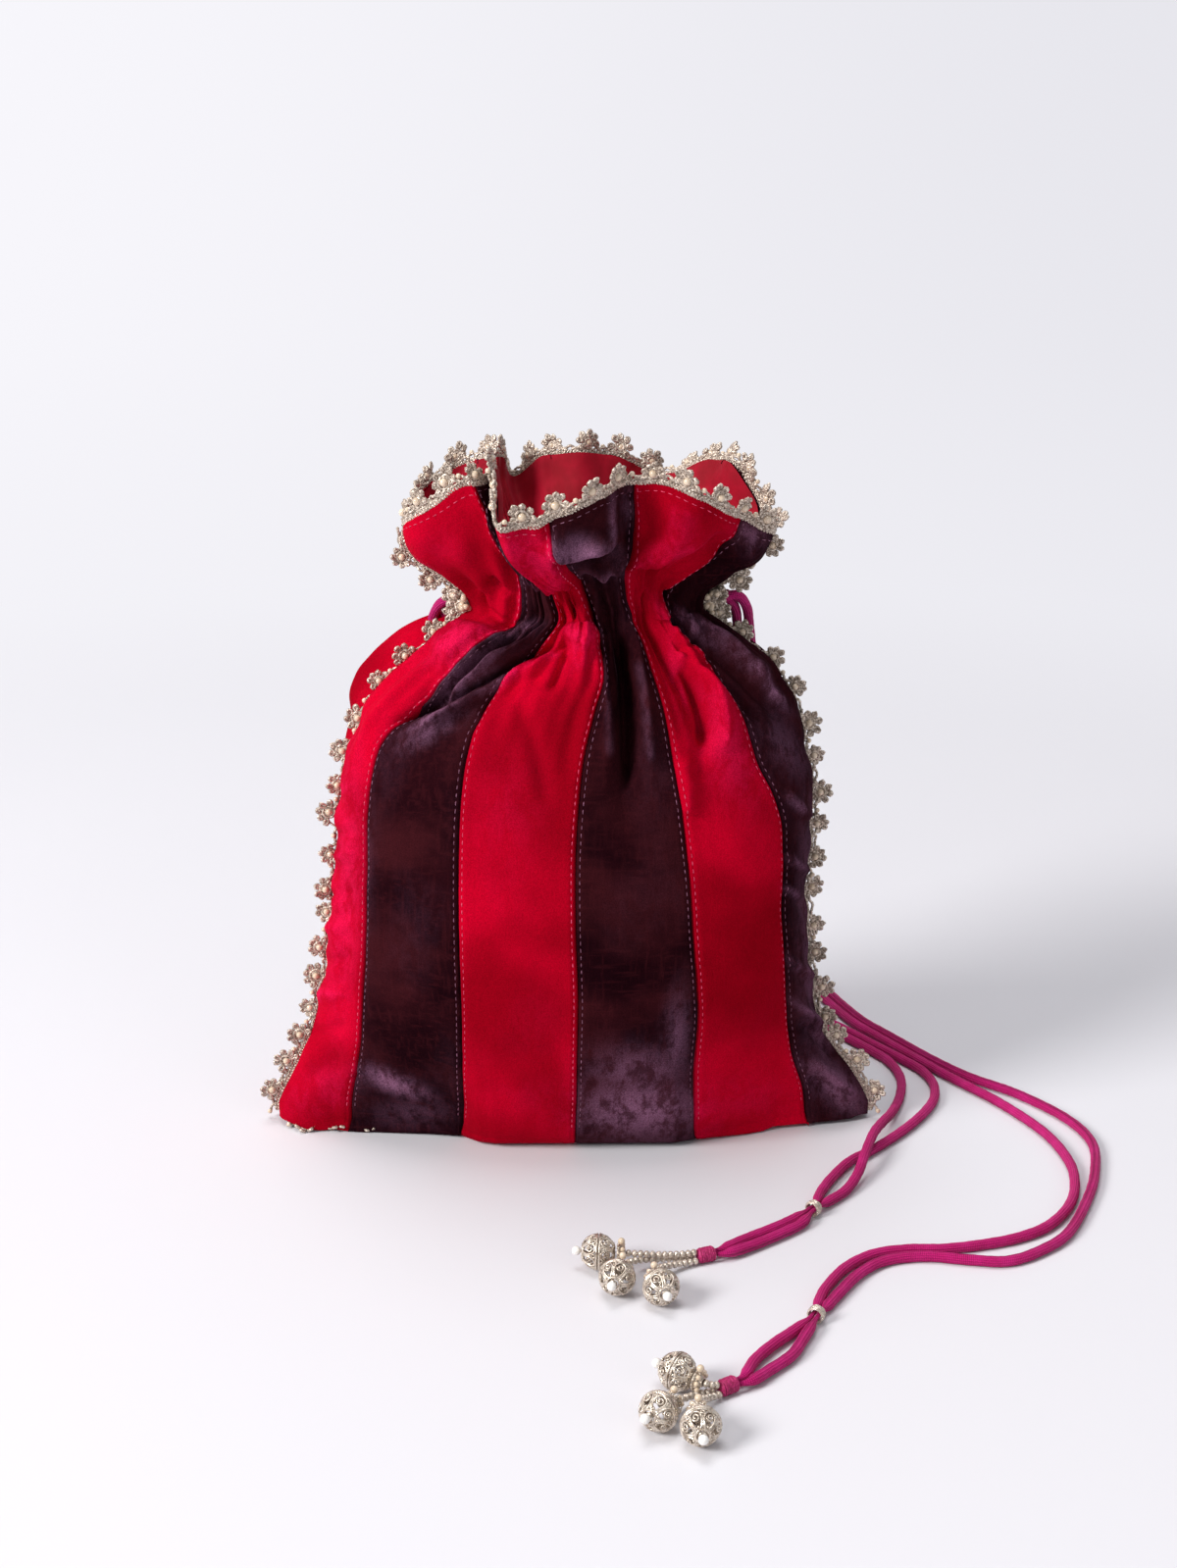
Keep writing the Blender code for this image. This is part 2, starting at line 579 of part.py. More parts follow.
def smooth_route(points, per_span=12):
    """A smooth curve through the route's points."""
    padded = np.concatenate([2 * points[:1] - points[1:2], points, 2 * points[-1:] - points[-2:-1]])
    out = []
    for i in range(1, len(padded) - 2):
        a, b, c, d = padded[i - 1 : i + 3]
        for t in np.arange(per_span) / per_span:
            out.append(
                0.5 * (2 * b + (c - a) * t + (2 * a - 5 * b + 4 * c - d) * t**2 + (3 * b - a - 3 * c + d) * t**3)
            )
    out.append(points[-1])
    return np.array(out)


def thin_out(points, widths, count):
    """The curve's points at a spacing that closes up where it bends or gets thinner."""
    steps = np.diff(points, axis=0)
    lengths = np.linalg.norm(steps, axis=1)
    ways = steps / lengths[:, None]
    turns = np.zeros(len(lengths))
    turns[1:] = np.arccos(np.clip((ways[1:] * ways[:-1]).sum(axis=1), -1, 1))
    cost = np.concatenate([[0.0], np.cumsum(lengths + BEND_WEIGHT * (turns + np.abs(np.diff(widths))))])
    targets = np.linspace(0, cost[-1], count)
    picked = np.unique(np.searchsorted(cost, targets - 1e-9).clip(0, len(points) - 1))
    return points[picked], widths[picked]


def keeper_pass(keeper, aim, sign):
    """Three points that take a strand through its keeper bead, beside the other strand."""
    aim = np.array((*aim, 0.0)) / math.hypot(*aim)
    across = np.array((-aim[1], aim[0], 0.0)) * sign
    middle = np.array((keeper[0] * MM, keeper[1] * MM, keeper_height()))
    beside = across * (PINCHED_DIAMETER + GAP) / 2
    return [middle + beside + aim * along for along in (-KEEPER_LENGTH, 0.0, KEEPER_LENGTH)]


def keeper_radius():
    return PINCHED_DIAMETER + 2 * GAP + KEEPER_WALL


def keeper_height():
    return keeper_radius() + GAP / 2


def whipping_frame(start, aim):
    """A whipping's middle point at its cord end, and the way it points."""
    aim = Vector((*aim, 0.0)).normalized()
    return Vector((start[0] * MM, start[1] * MM, WHIPPING_DIAMETER / 2 + GAP / 2)), aim


def strand(drop, spread, floor_points, keeper, keeper_aim, end_points, whipping, whipping_aim, sign):
    """One strand of a cord, from beside the neck to the face of its whipping."""
    points = [np.array(point) * MM + np.array((spread * sign, 0.0, 0.0)) for point in drop]
    for point in floor_points:
        height = point[2] * MM if len(point) > 2 else CORD_DIAMETER / 2 + GAP / 4
        points.append(np.array((point[0] * MM, point[1] * MM, height)))
    points += keeper_pass(keeper, keeper_aim, sign)
    for point in end_points:
        points.append(np.array((point[0] * MM, point[1] * MM, CORD_DIAMETER / 2 + GAP)))
    start, aim = whipping_frame(whipping, whipping_aim)
    across = Vector((-aim.y, aim.x, 0.0)) * sign
    end = start + across * (PINCHED_DIAMETER / 2 + GAP) - aim * GAP
    points.append(np.array(end - aim * WHIPPED_END_LENGTH + across * WHIPPED_END_SPREAD))
    points.append(np.array(end))
    return points


def channel_loop(height, exit_side):
    """A cord's turn round the neck, between the velvet and the lining, from its front end to its back end."""
    half_width = NECK_HALF_WIDTH - LOOP_SIDE_INSET
    half_depth = NECK_HALF_DEPTH - LOOP_DEPTH_INSET
    angles = np.radians((-36, -58, -84, -112, -142, 180, 142, 112, 84, 62, 44))
    depths = np.sign(angles) * np.abs(np.sin(angles)) ** FULLNESS * half_depth
    return [
        np.array((NECK_SHIFT + exit_side * half_width * math.cos(angle), depth, height))
        for angle, depth in zip(angles, depths)
    ]


def cord_widths(points, keeper, whipping):
    """The cord's width at each point, as a share of its own: it is pinched at the keeper and the whipping."""
    out = np.ones(len(points))
    pinched = PINCHED_DIAMETER / CORD_DIAMETER
    for spot, reach in ((keeper, PINCH_HALF_LENGTH), (whipping, WHIPPED_LENGTH)):
        away = np.hypot(points[:, 0] - spot[0] * MM, points[:, 1] - spot[1] * MM)
        out = np.minimum(out, pinched + (1 - pinched) * ramp(reach, reach + PINCH_TAPER, away))
    return out


def add_cord(name, height, exit_side, outer, inner, keeper, whipping, material, collection):
    beside_neck = NECK_SHIFT + exit_side * (NECK_HALF_WIDTH - EXIT_INSET)
    back_exit = np.array((beside_neck, EXIT_BACK, height))
    front_exit = np.array((beside_neck, EXIT_FRONT, height))
    route = np.array([*outer[::-1], front_exit, *channel_loop(height, exit_side), back_exit, *inner])
    dense = smooth_route(route)
    points, widths = thin_out(dense, cord_widths(dense, keeper, whipping), CORD_POINTS)
    curve = bpy.data.curves.new(name, "CURVE")
    curve.dimensions = "3D"
    curve.bevel_depth = CORD_DIAMETER / 2
    curve.bevel_resolution = 2
    curve.use_fill_caps = True
    spline = curve.splines.new("POLY")
    spline.points.add(len(points) - 1)
    for spot, point, width in zip(spline.points, points, widths):
        spot.co = (*point, 1.0)
        spot.radius = width
    curve.materials.append(material)
    collection.objects.link(bpy.data.objects.new(name, curve))


def place(thing, position, aim):
    """Put an object's origin at a position and turn its +Z along a direction."""
    turn = Vector(aim).to_track_quat("Z", "Y")
    thing.matrix_world = Matrix.Translation(position) @ turn.to_matrix().to_4x4()


def turned(name, profile, segments, position, aim, material, collection):
    """A turned piece: its profile's (radius, height) points run down its outer side."""
    mesh = bpy.data.meshes.new(name)
    points = [(radius, 0.0, height) for radius, height in profile]
    mesh.from_pydata(points, [(i, i + 1) for i in range(len(points) - 1)], [])
    mesh.materials.append(material)
    thing = bpy.data.objects.new(name, mesh)
    screw = thing.modifiers.new("turn", "SCREW")
    screw.steps = segments
    screw.render_steps = segments
    screw.use_merge_vertices = True
    screw.merge_threshold = 0.00001
    collection.objects.link(thing)
    place(thing, position, aim)
    return thing


def add_keeper(name, keeper, aim, material, collection):
    outer = keeper_radius()
    inner = outer - KEEPER_WALL
    half = KEEPER_LENGTH / 2
    waist = outer - KEEPER_WALL * 0.4
    profile = ((inner, half), (waist, half), (outer, 0.0), (waist, -half), (inner, -half), (inner, half))
    position = (keeper[0] * MM, keeper[1] * MM, keeper_height())
    turned(name, profile, 10, position, (*aim, 0.0), material, collection)


def add_whipping(name, start, aim, material, collection):
    position, aim = whipping_frame(start, aim)
    radius = WHIPPING_DIAMETER / 2
    neck = radius * 0.84
    profile = (
        (0.0, WHIPPING_LENGTH), (neck, WHIPPING_LENGTH), (radius, WHIPPING_LENGTH * 0.8),
        (radius, WHIPPING_LENGTH * 0.2), (neck, 0.0), (0.0, 0.0),
    )
    turned(name, profile, 12, position, aim, material, collection)


def add_ball(name, position, aim, material, collection):
    """An openwork ball: the bars of a cage whose holes have five sides, with a bar corner at each pole."""
    radius = BALL_DIAMETER / 2 - CAGE_BAR / 4
    core = bmesh.new()
    bmesh.ops.create_icosphere(core, subdivisions=1, radius=radius)
    corners = [face.calc_center_median().normalized() * radius for face in core.faces]
    rings = []
    for vert in core.verts:
        around = [face.index for face in vert.link_faces]
        level = vert.normal.orthogonal().normalized()
        lift = vert.normal.cross(level)
        rings.append(sorted(around, key=lambda i: math.atan2(corners[i].dot(lift), corners[i].dot(level))))
    turn = corners[0].rotation_difference(Vector((0.0, 0.0, 1.0)))
    points = [turn @ corner for corner in corners]
    core.free()
    ball = add_mesh(name, points, rings, material, collection)
    wire = ball.modifiers.new("cage", "WIREFRAME")
    wire.thickness = CAGE_BAR
    wire.use_even_offset = True
    wire.use_replace = True
    place(ball, position, aim)


def add_pearl(name, position, diameter, material, collection):
    made = bmesh.new()
    bmesh.ops.create_uvsphere(made, u_segments=8, v_segments=4, radius=diameter / 2)
    mesh = bpy.data.meshes.new(name)
    made.to_mesh(mesh)
    made.free()
    mesh.shade_smooth()
    mesh.materials.append(material)
    thing = bpy.data.objects.new(name, mesh)
    thing.location = position
    collection.objects.link(thing)


def add_string(name, start, start_aim, end, end_aim, material, collection):
    """A string of seed beads: a tube that swells at each bead. It leaves and arrives along the given ways."""
    length = (end - start).length
    beads = max(2, round(length / SEED_BEAD_LENGTH))
    pulls = (start, start + start_aim * length / 3, end - end_aim * length / 3, end)
    curve = bpy.data.curves.new(name, "CURVE")
    curve.dimensions = "3D"
    curve.bevel_depth = STRING_DIAMETER / 2
    curve.bevel_resolution = 0
    curve.use_fill_caps = True
    spline = curve.splines.new("POLY")
    count = 2 * beads + 1
    spline.points.add(count - 1)
    for i, spot in enumerate(spline.points):
        t = i / (count - 1)
        weights = ((1 - t) ** 3, 3 * t * (1 - t) ** 2, 3 * t * t * (1 - t), t**3)
        spot.co = (*sum((pull * weight for pull, weight in zip(pulls, weights)), Vector()), 1.0)
        spot.radius = 1.0 if i % 2 else 0.7
    curve.materials.append(material)
    collection.objects.link(bpy.data.objects.new(name, curve))


def add_tassel(name, whipping, aim, drops, metal, pearl, thread, collection):
    add_whipping(f"{name}_whipping", whipping, aim, thread, collection)
    start, way = whipping_frame(whipping, aim)
    face = start + way * (WHIPPING_LENGTH + GAP)
    up = Vector((0.0, 0.0, 1.0))
    beside = way.cross(up)
    ring = (STRING_DIAMETER + GAP) / math.sqrt(3)
    radius = BALL_DIAMETER / 2
    for number, ((x, y), pointing) in enumerate(drops, 1):
        turn = math.radians(210 - 120 * number)
        begin = face + ring * (math.cos(turn) * beside + math.sin(turn) * up)
        axis = Vector(pointing).normalized()
        middle = Vector((x * MM, y * MM, radius + GAP))
        cap = middle - axis * (radius + GAP)
        add_ball(f"{name}_ball_{number}", middle, axis, metal, collection)
        end = middle + axis * (radius + GAP + END_PEARL_DIAMETER / 2)
        add_pearl(f"{name}_end_pearl_{number}", end, END_PEARL_DIAMETER, pearl, collection)
        rim, neck = CAP_DIAMETER / 2, STRING_DIAMETER / 2
        profile = ((0.0, 0.0), (rim, 0.0), (rim * 0.86, -CAP_LENGTH * 0.5), (neck, -CAP_LENGTH), (0.0, -CAP_LENGTH))
        turned(f"{name}_cap_{number}", profile, 10, cap, axis, metal, collection)
        tip = cap - axis * (CAP_LENGTH + GAP)
        add_string(f"{name}_string_{number}", begin, way, tip, axis, metal, collection)
        lift = (up - axis * up.dot(axis)).normalized()
        seat = cap - axis * CAP_LENGTH * 0.5 + lift * (rim + GAP + CAP_PEARL_DIAMETER / 2)
        add_pearl(f"{name}_cap_pearl_{number}", seat, CAP_PEARL_DIAMETER, pearl, collection)


def build():
    clear_scene()
    bag = bpy.data.collections.new("potli_bag")
    bpy.context.scene.collection.children.link(bag)
    red = make_material("red_velvet", (0.42, 0.004, 0.02), 0.85, 0.0)
    plum = make_material("plum_velvet", (0.045, 0.010, 0.028), 0.8, 0.0)
    facing = make_material("red_lining", (0.36, 0.006, 0.02), 0.8, 0.0)
    lace = make_material("antique_lace", (0.42, 0.34, 0.24), 0.45, 0.7)
    braid = make_material("magenta_cord", (0.42, 0.012, 0.12), 0.7, 0.0)
    metal = make_material("antique_silver", (0.55, 0.47, 0.38), 0.38, 0.85)
    pearl = make_material("pearl", (0.82, 0.76, 0.68), 0.25, 0.0)

    for side in (-1, 1):
        for index in range(STRIPS):
            add_strip(index, side, plum if index % 2 else red, bag)
    add_lining(facing, bag)
    add_mouth_lace(lace, bag)
    add_side_lace(-1, lace, bag)
    add_side_lace(1, lace, bag)
    add_bottom_lace(lace, bag)

    spread = (CORD_DIAMETER + 2 * GAP) / 2
    cord_rise = (CORD_DIAMETER + 2 * GAP) / 2
    right = [
        strand(RIGHT_DROP, spread, floor, RIGHT_KEEPER, RIGHT_KEEPER_AIM, end, RIGHT_WHIPPING, RIGHT_WHIPPING_AIM, sign)
        for floor, end, sign in ((RIGHT_OUTER, RIGHT_OUTER_END, 1), (RIGHT_INNER, RIGHT_INNER_END, -1))
    ]
    left = [
        strand(LEFT_DROP, spread, floor, LEFT_KEEPER, LEFT_KEEPER_AIM, end, LEFT_WHIPPING, LEFT_WHIPPING_AIM, sign)
        for floor, end, sign in ((LEFT_OUTER, LEFT_OUTER_END, -1), (LEFT_INNER, LEFT_INNER_END, 1))
    ]
    add_cord("drawcord_right", NECK_HEIGHT + cord_rise, 1, right[0], right[1], RIGHT_KEEPER, RIGHT_WHIPPING, braid, bag)
    add_cord("drawcord_left", NECK_HEIGHT - cord_rise, -1, left[0], left[1], LEFT_KEEPER, LEFT_WHIPPING, braid, bag)
    add_keeper("keeper_right", RIGHT_KEEPER, RIGHT_KEEPER_AIM, metal, bag)
    add_keeper("keeper_left", LEFT_KEEPER, LEFT_KEEPER_AIM, metal, bag)
    add_tassel("tassel_right", RIGHT_WHIPPING, RIGHT_WHIPPING_AIM, RIGHT_DROPS, metal, pearl, braid, bag)
    add_tassel("tassel_left", LEFT_WHIPPING, LEFT_WHIPPING_AIM, LEFT_DROPS, metal, pearl, braid, bag)


build()
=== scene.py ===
"""Looks of the potli bag: velvet strips, lining, lace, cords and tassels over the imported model.

Metres, in the frame of the CAD. The bag's surface starts from the CAD's rows, seams and folds. The drawn-in
sides, the front's seams, the foot's depth in front, the edges' swings, the front folds of the ruffle and its
lip's lifts, the back's swell at the left, the cords' turn in the neck and the first points of their drops are
fitted closer to the photograph here.
"""

import math
from collections import namedtuple

import bpy
import numpy as np
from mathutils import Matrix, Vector


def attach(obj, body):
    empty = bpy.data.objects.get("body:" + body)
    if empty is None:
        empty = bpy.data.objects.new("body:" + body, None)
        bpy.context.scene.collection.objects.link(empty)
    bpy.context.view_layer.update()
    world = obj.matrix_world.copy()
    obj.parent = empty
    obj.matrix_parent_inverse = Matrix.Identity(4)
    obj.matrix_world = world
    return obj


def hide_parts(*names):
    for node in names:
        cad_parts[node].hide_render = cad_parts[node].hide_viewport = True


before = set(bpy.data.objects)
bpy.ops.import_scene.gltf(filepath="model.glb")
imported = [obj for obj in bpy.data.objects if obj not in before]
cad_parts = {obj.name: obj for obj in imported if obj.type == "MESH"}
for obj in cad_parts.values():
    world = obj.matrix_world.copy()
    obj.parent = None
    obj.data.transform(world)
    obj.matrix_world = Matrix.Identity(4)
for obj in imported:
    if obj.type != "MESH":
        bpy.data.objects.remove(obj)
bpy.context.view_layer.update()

MM = 0.001
TINY = 1e-12
UP = (0.0, 0.0, 1.0)
FLOOR_CLEARANCE = 0.00005
SPAN_STEPS = 12
CORD_STEP = 0.0007

# Sizes that repeat the CAD's
SEAM_LIFT = 0.0016
HEEL_HEIGHT = 0.0045
BELLY_HEIGHT = 0.092
SHOULDER_HEIGHT = 0.163
NECK_HEIGHT = 0.193
MOUTH_HEIGHT = 0.2375
MOUTH_CORNER_HEIGHT = 0.219
BASE_HALF_WIDTH = 0.108
HEEL_HALF_WIDTH = 0.1065
BELLY_HALF_WIDTH = 0.087
SHOULDER_HALF_WIDTH = 0.0755
NECK_HALF_WIDTH = 0.0445
MOUTH_HALF_WIDTH = 0.061
BOTTOM_LACE_REACH = 0.0102
FOOT_INNER_DEPTH = 0.0135
FOOT_OUTER_DEPTH = 0.021
HEEL_DEPTH = 0.029
BELLY_HALF_DEPTH = 0.045
SHOULDER_HALF_DEPTH = 0.034
NECK_HALF_DEPTH = 0.021
MOUTH_HALF_DEPTH = 0.041
NECK_SHIFT = 0.009
MOUTH_SHIFT = 0.005
STRIPS = 6
CLOTH = 0.0012
GAP = 0.0003
FULLNESS = 0.85
LINING_SIDE_ROOM = 0.006
LINING_FOLD_ROOM = 0.0095
LINING_REST = 0.0003
CORD_DIAMETER = 0.0035
PINCHED_DIAMETER = 0.0015
PINCH_HALF_LENGTH = 0.003
WHIPPED_LENGTH = 0.0012
WHIPPED_END_LENGTH = 0.004
WHIPPED_END_SPREAD = 0.0006
PINCH_TAPER = 0.0055
LOOP_SIDE_INSET = 0.0072
LOOP_DEPTH_INSET = 0.0076
EXIT_INSET = 0.003
EXIT_FRONT = 0.0024
EXIT_BACK = 0.0067
KEEPER_LENGTH = 0.0026
KEEPER_WALL = 0.0005
WHIPPING_DIAMETER = 0.005
WHIPPING_LENGTH = 0.006
STRING_DIAMETER = 0.0024
BALL_DIAMETER = 0.0118
CAP_DIAMETER = 0.0066
CAP_LENGTH = 0.0022
END_PEARL_DIAMETER = 0.003
CAP_PEARL_DIAMETER = 0.0023
SCALLOP_PITCH = 0.0125

Row = namedtuple("Row", "height edge_height half_width half_depth shift lining_inset")
HEEL = Row(HEEL_HEIGHT, 0.0105, HEEL_HALF_WIDTH, HEEL_DEPTH, 0.0, 0.0022)
BELLY = Row(BELLY_HEIGHT, BELLY_HEIGHT, BELLY_HALF_WIDTH, BELLY_HALF_DEPTH, -0.0009, 0.0065)
SHOULDER = Row(SHOULDER_HEIGHT, SHOULDER_HEIGHT, SHOULDER_HALF_WIDTH, SHOULDER_HALF_DEPTH, 0.0024, 0.0135)
NECK = Row(NECK_HEIGHT, NECK_HEIGHT, NECK_HALF_WIDTH, NECK_HALF_DEPTH, NECK_SHIFT, 0.0114)
LIP = Row(MOUTH_HEIGHT, MOUTH_CORNER_HEIGHT, MOUTH_HALF_WIDTH, MOUTH_HALF_DEPTH, MOUTH_SHIFT, 0.0015)


def part_way(low, high, shares, shift, lining_inset):
    sizes = [a + (b - a) * share for a, b, share in zip(low, high, shares)]
    return Row(*sizes, shift, lining_inset)


ROWS = (
    Row(SEAM_LIFT, SEAM_LIFT, BASE_HALF_WIDTH, 0.0, 0.0, 0.002),
    Row(SEAM_LIFT, 0.0032, BASE_HALF_WIDTH, BOTTOM_LACE_REACH, 0.0, 0.002),
    Row(0.0, 0.0048, BASE_HALF_WIDTH, FOOT_INNER_DEPTH, 0.0, 0.002),
    Row(0.0, 0.0066, BASE_HALF_WIDTH, FOOT_OUTER_DEPTH, 0.0, 0.002),
    HEEL,
    part_way(HEEL, BELLY, (0.1314, 0.1166, 0.2051, 0.4063), -0.0005, 0.0026),
    part_way(HEEL, BELLY, (0.3486, 0.3252, 0.5385, 0.7000), -0.0012, 0.0032),
    part_way(HEEL, BELLY, (0.6343, 0.6196, 0.8718, 0.9063), -0.0018, 0.0042),
    BELLY,
    part_way(BELLY, SHOULDER, (0.4225, 0.4225, 0.1913, 0.1636), 0.0006, LINING_FOLD_ROOM),
    part_way(BELLY, SHOULDER, (0.7746, 0.7746, 0.5217, 0.5636), 0.0013, 0.0115),
    SHOULDER,
    part_way(SHOULDER, NECK, (0.4333, 0.4333, 0.3710, 0.3846), 0.005, 0.0160),
    part_way(SHOULDER, NECK, (0.7667, 0.7667, 0.7839, 0.7846), 0.0078, 0.0142),
    NECK,
    part_way(NECK, LIP, (0.1685, 0.2308, 0.1212, 0.0600), 0.0086, 0.0126),
    part_way(NECK, LIP, (0.3708, 0.4423, 0.5455, 0.3250), 0.0076, 0.0085),
    part_way(NECK, LIP, (0.5955, 0.6538, 0.9394, 0.6250), 0.0064, 0.0030),
    part_way(NECK, LIP, (0.8202, 0.8462, 1.0727, 0.8750), 0.0056, 0.0015),
    LIP,
)
HEEL_ROW, NECK_ROW, LIP_ROW = 4, 14, len(ROWS) - 1
# How far the left and the right side are drawn in from the CAD's rows, in mm
DRAWN_IN = {
    5: (1.3, 1.0), 6: (2.6, 5.5), 7: (2.3, 2.9), 8: (3.0, 3.6), 9: (1.8, 1.6), 10: (3.2, 1.9),
    11: (4.9, 2.8), 12: (4.0, 4.0), 13: (2.0, 8.0), 14: (1.5, 10.0), 15: (0.5, 9.5), 16: (0.0, 7.0),
    17: (0.0, 5.0), 18: (0.0, 3.5),
}


def drawn_in(number, row):
    left, right = DRAWN_IN.get(number, (0.0, 0.0))
    half_width = row.half_width - (left + right) / 2 * MM
    return row._replace(half_width=half_width, shift=row.shift + (left - right) / 2 * MM)


ROWS = tuple(drawn_in(number, row) for number, row in enumerate(ROWS))
# Where the seams lie at each row, as the sine of the angle round the section
SEAMS_BACK = {
    0: (-0.74, -0.37, 0.0, 0.40, 0.765),
    6: (-0.81, -0.43, 0.015, 0.475, 0.845),
    10: (-0.82, -0.44, 0.035, 0.435, 0.775),
    12: (-0.66, -0.41, 0.085, 0.37, 0.70),
    14: (-0.60, -0.38, -0.03, 0.21, 0.52),
    19: (-0.64, -0.48, -0.22, 0.26, 0.83),
}
SEAMS_FRONT = {
    0: (-0.760, -0.378, 0.006, 0.410, 0.795),
    4: (-0.756, -0.377, 0.006, 0.408, 0.793),
    5: (-0.780, -0.385, 0.013, 0.427, 0.822),
    6: (-0.797, -0.397, 0.044, 0.490, 0.872),
    7: (-0.822, -0.419, 0.046, 0.520, 0.886),
    8: (-0.836, -0.447, 0.028, 0.500, 0.882),
    9: (-0.853, -0.466, 0.008, 0.447, 0.850),
    10: (-0.872, -0.478, 0.021, 0.404, 0.765),
    11: (-0.780, -0.478, 0.054, 0.378, 0.740),
    12: (-0.695, -0.448, 0.092, 0.352, 0.717),
    13: (-0.605, -0.300, 0.098, 0.385, 0.703),
    14: (-0.565, -0.245, 0.062, 0.388, 0.695),
    15: (-0.500, -0.262, 0.010, 0.332, 0.655),
    16: (-0.455, -0.300, -0.057, 0.275, 0.690),
    17: (-0.480, -0.405, -0.105, 0.298, 0.772),
    18: (-0.535, -0.450, -0.148, 0.290, 0.815),
    19: (-0.604, -0.484, -0.189, 0.263, 0.812),
}
SEAMS = {-1: SEAMS_FRONT, 1: SEAMS_BACK}
# How much of the CAD's depth the front of the foot keeps, against x in mm
FOOT_SHARE = (
    (-108, 0.9), (-97, 0.80), (-87, 0.62), (-70, 0.56), (-54, 0.60), (-40, 0.68), (-34, 0.88), (-28, 0.94),
    (0, 0.93), (36, 0.92), (42, 0.82), (62, 0.62), (73, 0.46), (82, 0.42), (98, 0.36), (105, 0.30),
)
Fold = namedtuple("Fold", "across_a row_a across_b row_b half_width push droop")
NECK_FOLDS_FRONT = (
    Fold(-0.80, 9.0, -0.74, 15.6, 0.11, 0.0036, 0.0),
    Fold(-0.63, 9.6, -0.56, 15.0, 0.09, -0.0050, 0.0),
    Fold(-0.62, 10.2, -0.36, 13.9, 0.10, 0.0032, 0.0),
    Fold(-0.48, 9.8, -0.26, 13.0, 0.11, -0.0038, 0.0),
    Fold(-0.11, 10.4, -0.09, 15.4, 0.11, 0.0044, 0.0),
    Fold(0.17, 8.6, 0.15, 15.2, 0.10, -0.0066, 0.0),
    Fold(0.30, 10.4, 0.30, 15.0, 0.09, 0.0030, 0.0),
    Fold(0.47, 9.6, 0.42, 15.0, 0.09, -0.0050, 0.0),
    Fold(0.60, 10.0, 0.56, 15.2, 0.09, 0.0040, 0.0),
    Fold(0.86, 9.8, 0.68, 13.9, 0.10, -0.0052, 0.0),
    Fold(0.92, 11.0, 0.72, 15.0, 0.07, 0.0034, 0.0),
)
NECK_FOLDS_BACK = tuple(
    Fold(across + 0.05 * lean, 9.4, across * 0.94, 15.2, 0.12, 0.75 * push, 0.0)
    for across, lean, push in (
        (-0.82, -1, 0.0034), (-0.66, -1, -0.0048), (-0.48, -1, 0.0038), (-0.30, 0, -0.0056),
        (-0.11, 0, 0.0036), (0.08, 0, -0.0050), (0.27, 0, 0.0040), (0.46, 1, -0.0052),
        (0.64, 1, 0.0034), (0.82, 1, -0.0044),
    )
)
RUFFLE_FRONT = (
    Fold(-0.84, 15.0, -0.84, 19, 0.15, 0.0040, 0.045),
    Fold(-0.50, 15.0, -0.52, 19, 0.17, -0.0105, 0.0),
    Fold(-0.21, 15.0, -0.22, 19, 0.15, 0.0105, 0.08),
    Fold(-0.03, 15.0, -0.04, 19, 0.18, 0.0075, 0.10),
    Fold(0.14, 15.0, 0.13, 19, 0.15, 0.0080, 0.06),
    Fold(0.34, 15.0, 0.34, 19, 0.13, -0.0065, 0.0),
    Fold(0.54, 15.0, 0.52, 19, 0.17, 0.0075, 0.0),
    Fold(0.80, 15.0, 0.80, 19, 0.16, 0.0070, 0.157),
)
RUFFLE_BACK = tuple(
    Fold(across, 15.0, across, 19, 0.17, push, droop)
    for across, push, droop in (
        (-0.80, 0.0070, 0.067), (-0.52, -0.0060, 0.0), (-0.20, 0.0122, 0.135),
        (0.12, -0.0050, 0.0), (0.42, 0.0080, 0.112), (0.74, -0.0050, 0.0),
    )
)
# How far the front lip stands above or below its even line, in mm
LIP_LIFT = (
    (-1.0, 0.0), (-0.90, 0.8), (-0.80, 0.4), (-0.70, 2.6), (-0.60, 1.6), (-0.52, 3.0), (-0.455, 5.6),
    (-0.41, 6.0), (-0.355, 1.0), (-0.28, 1.2), (-0.20, -1.8), (-0.10, -2.2), (0.0, -0.4), (0.09, 1.6),
    (0.17, 3.6), (0.25, 1.8), (0.34, 1.0), (0.43, 3.7), (0.50, 1.2), (0.57, -4.0), (0.62, -7.2),
    (0.67, -8.6), (0.73, -7.8), (0.80, -3.2), (0.87, -0.7), (0.92, 0.0), (1.0, 0.0),
)
NECK_FOLDS = {-1: NECK_FOLDS_FRONT, 1: NECK_FOLDS_BACK}
RUFFLES = {-1: RUFFLE_FRONT, 1: RUFFLE_BACK}

RIGHT_DROP = (
    (54.5, 4.8, 195.0), (58.0, 8.6, 190.0), (59.5, 15.0, 182.0), (61.5, 25.0, 170.0), (64.5, 31.6, 152.0),
    (66.5, 34.6, 128.0), (68.0, 36.0, 98.0), (70.0, 37.5, 62.0), (72.5, 41.0, 32.0), (75.0, 49.0, 14.0),
    (77.5, 62.0, 8.0), (79.5, 76.0, 6.6), (81.0, 90.0, 6.2), (82.5, 102.0, 5.0), (85.0, 115.0, 2.4),
)
RIGHT_OUTER = (
    (90.0, 128.0), (97.5, 129.5), (102.6, 122.5), (109.0, 102.7), (116.2, 84.0), (124.8, 69.4),
    (138.6, 46.8), (150.7, 30.5), (166.3, 15.6), (180.0, -4.5), (185.2, -24.0), (181.4, -46.0),
    (174.4, -66.0), (163.0, -89.0), (150.9, -101.0), (139.8, -107.0), (128.0, -106.2), (114.0, -103.9),
    (100.8, -106.6), (91.5, -114.6), (84.0, -126.0), (79.0, -134.5),
)
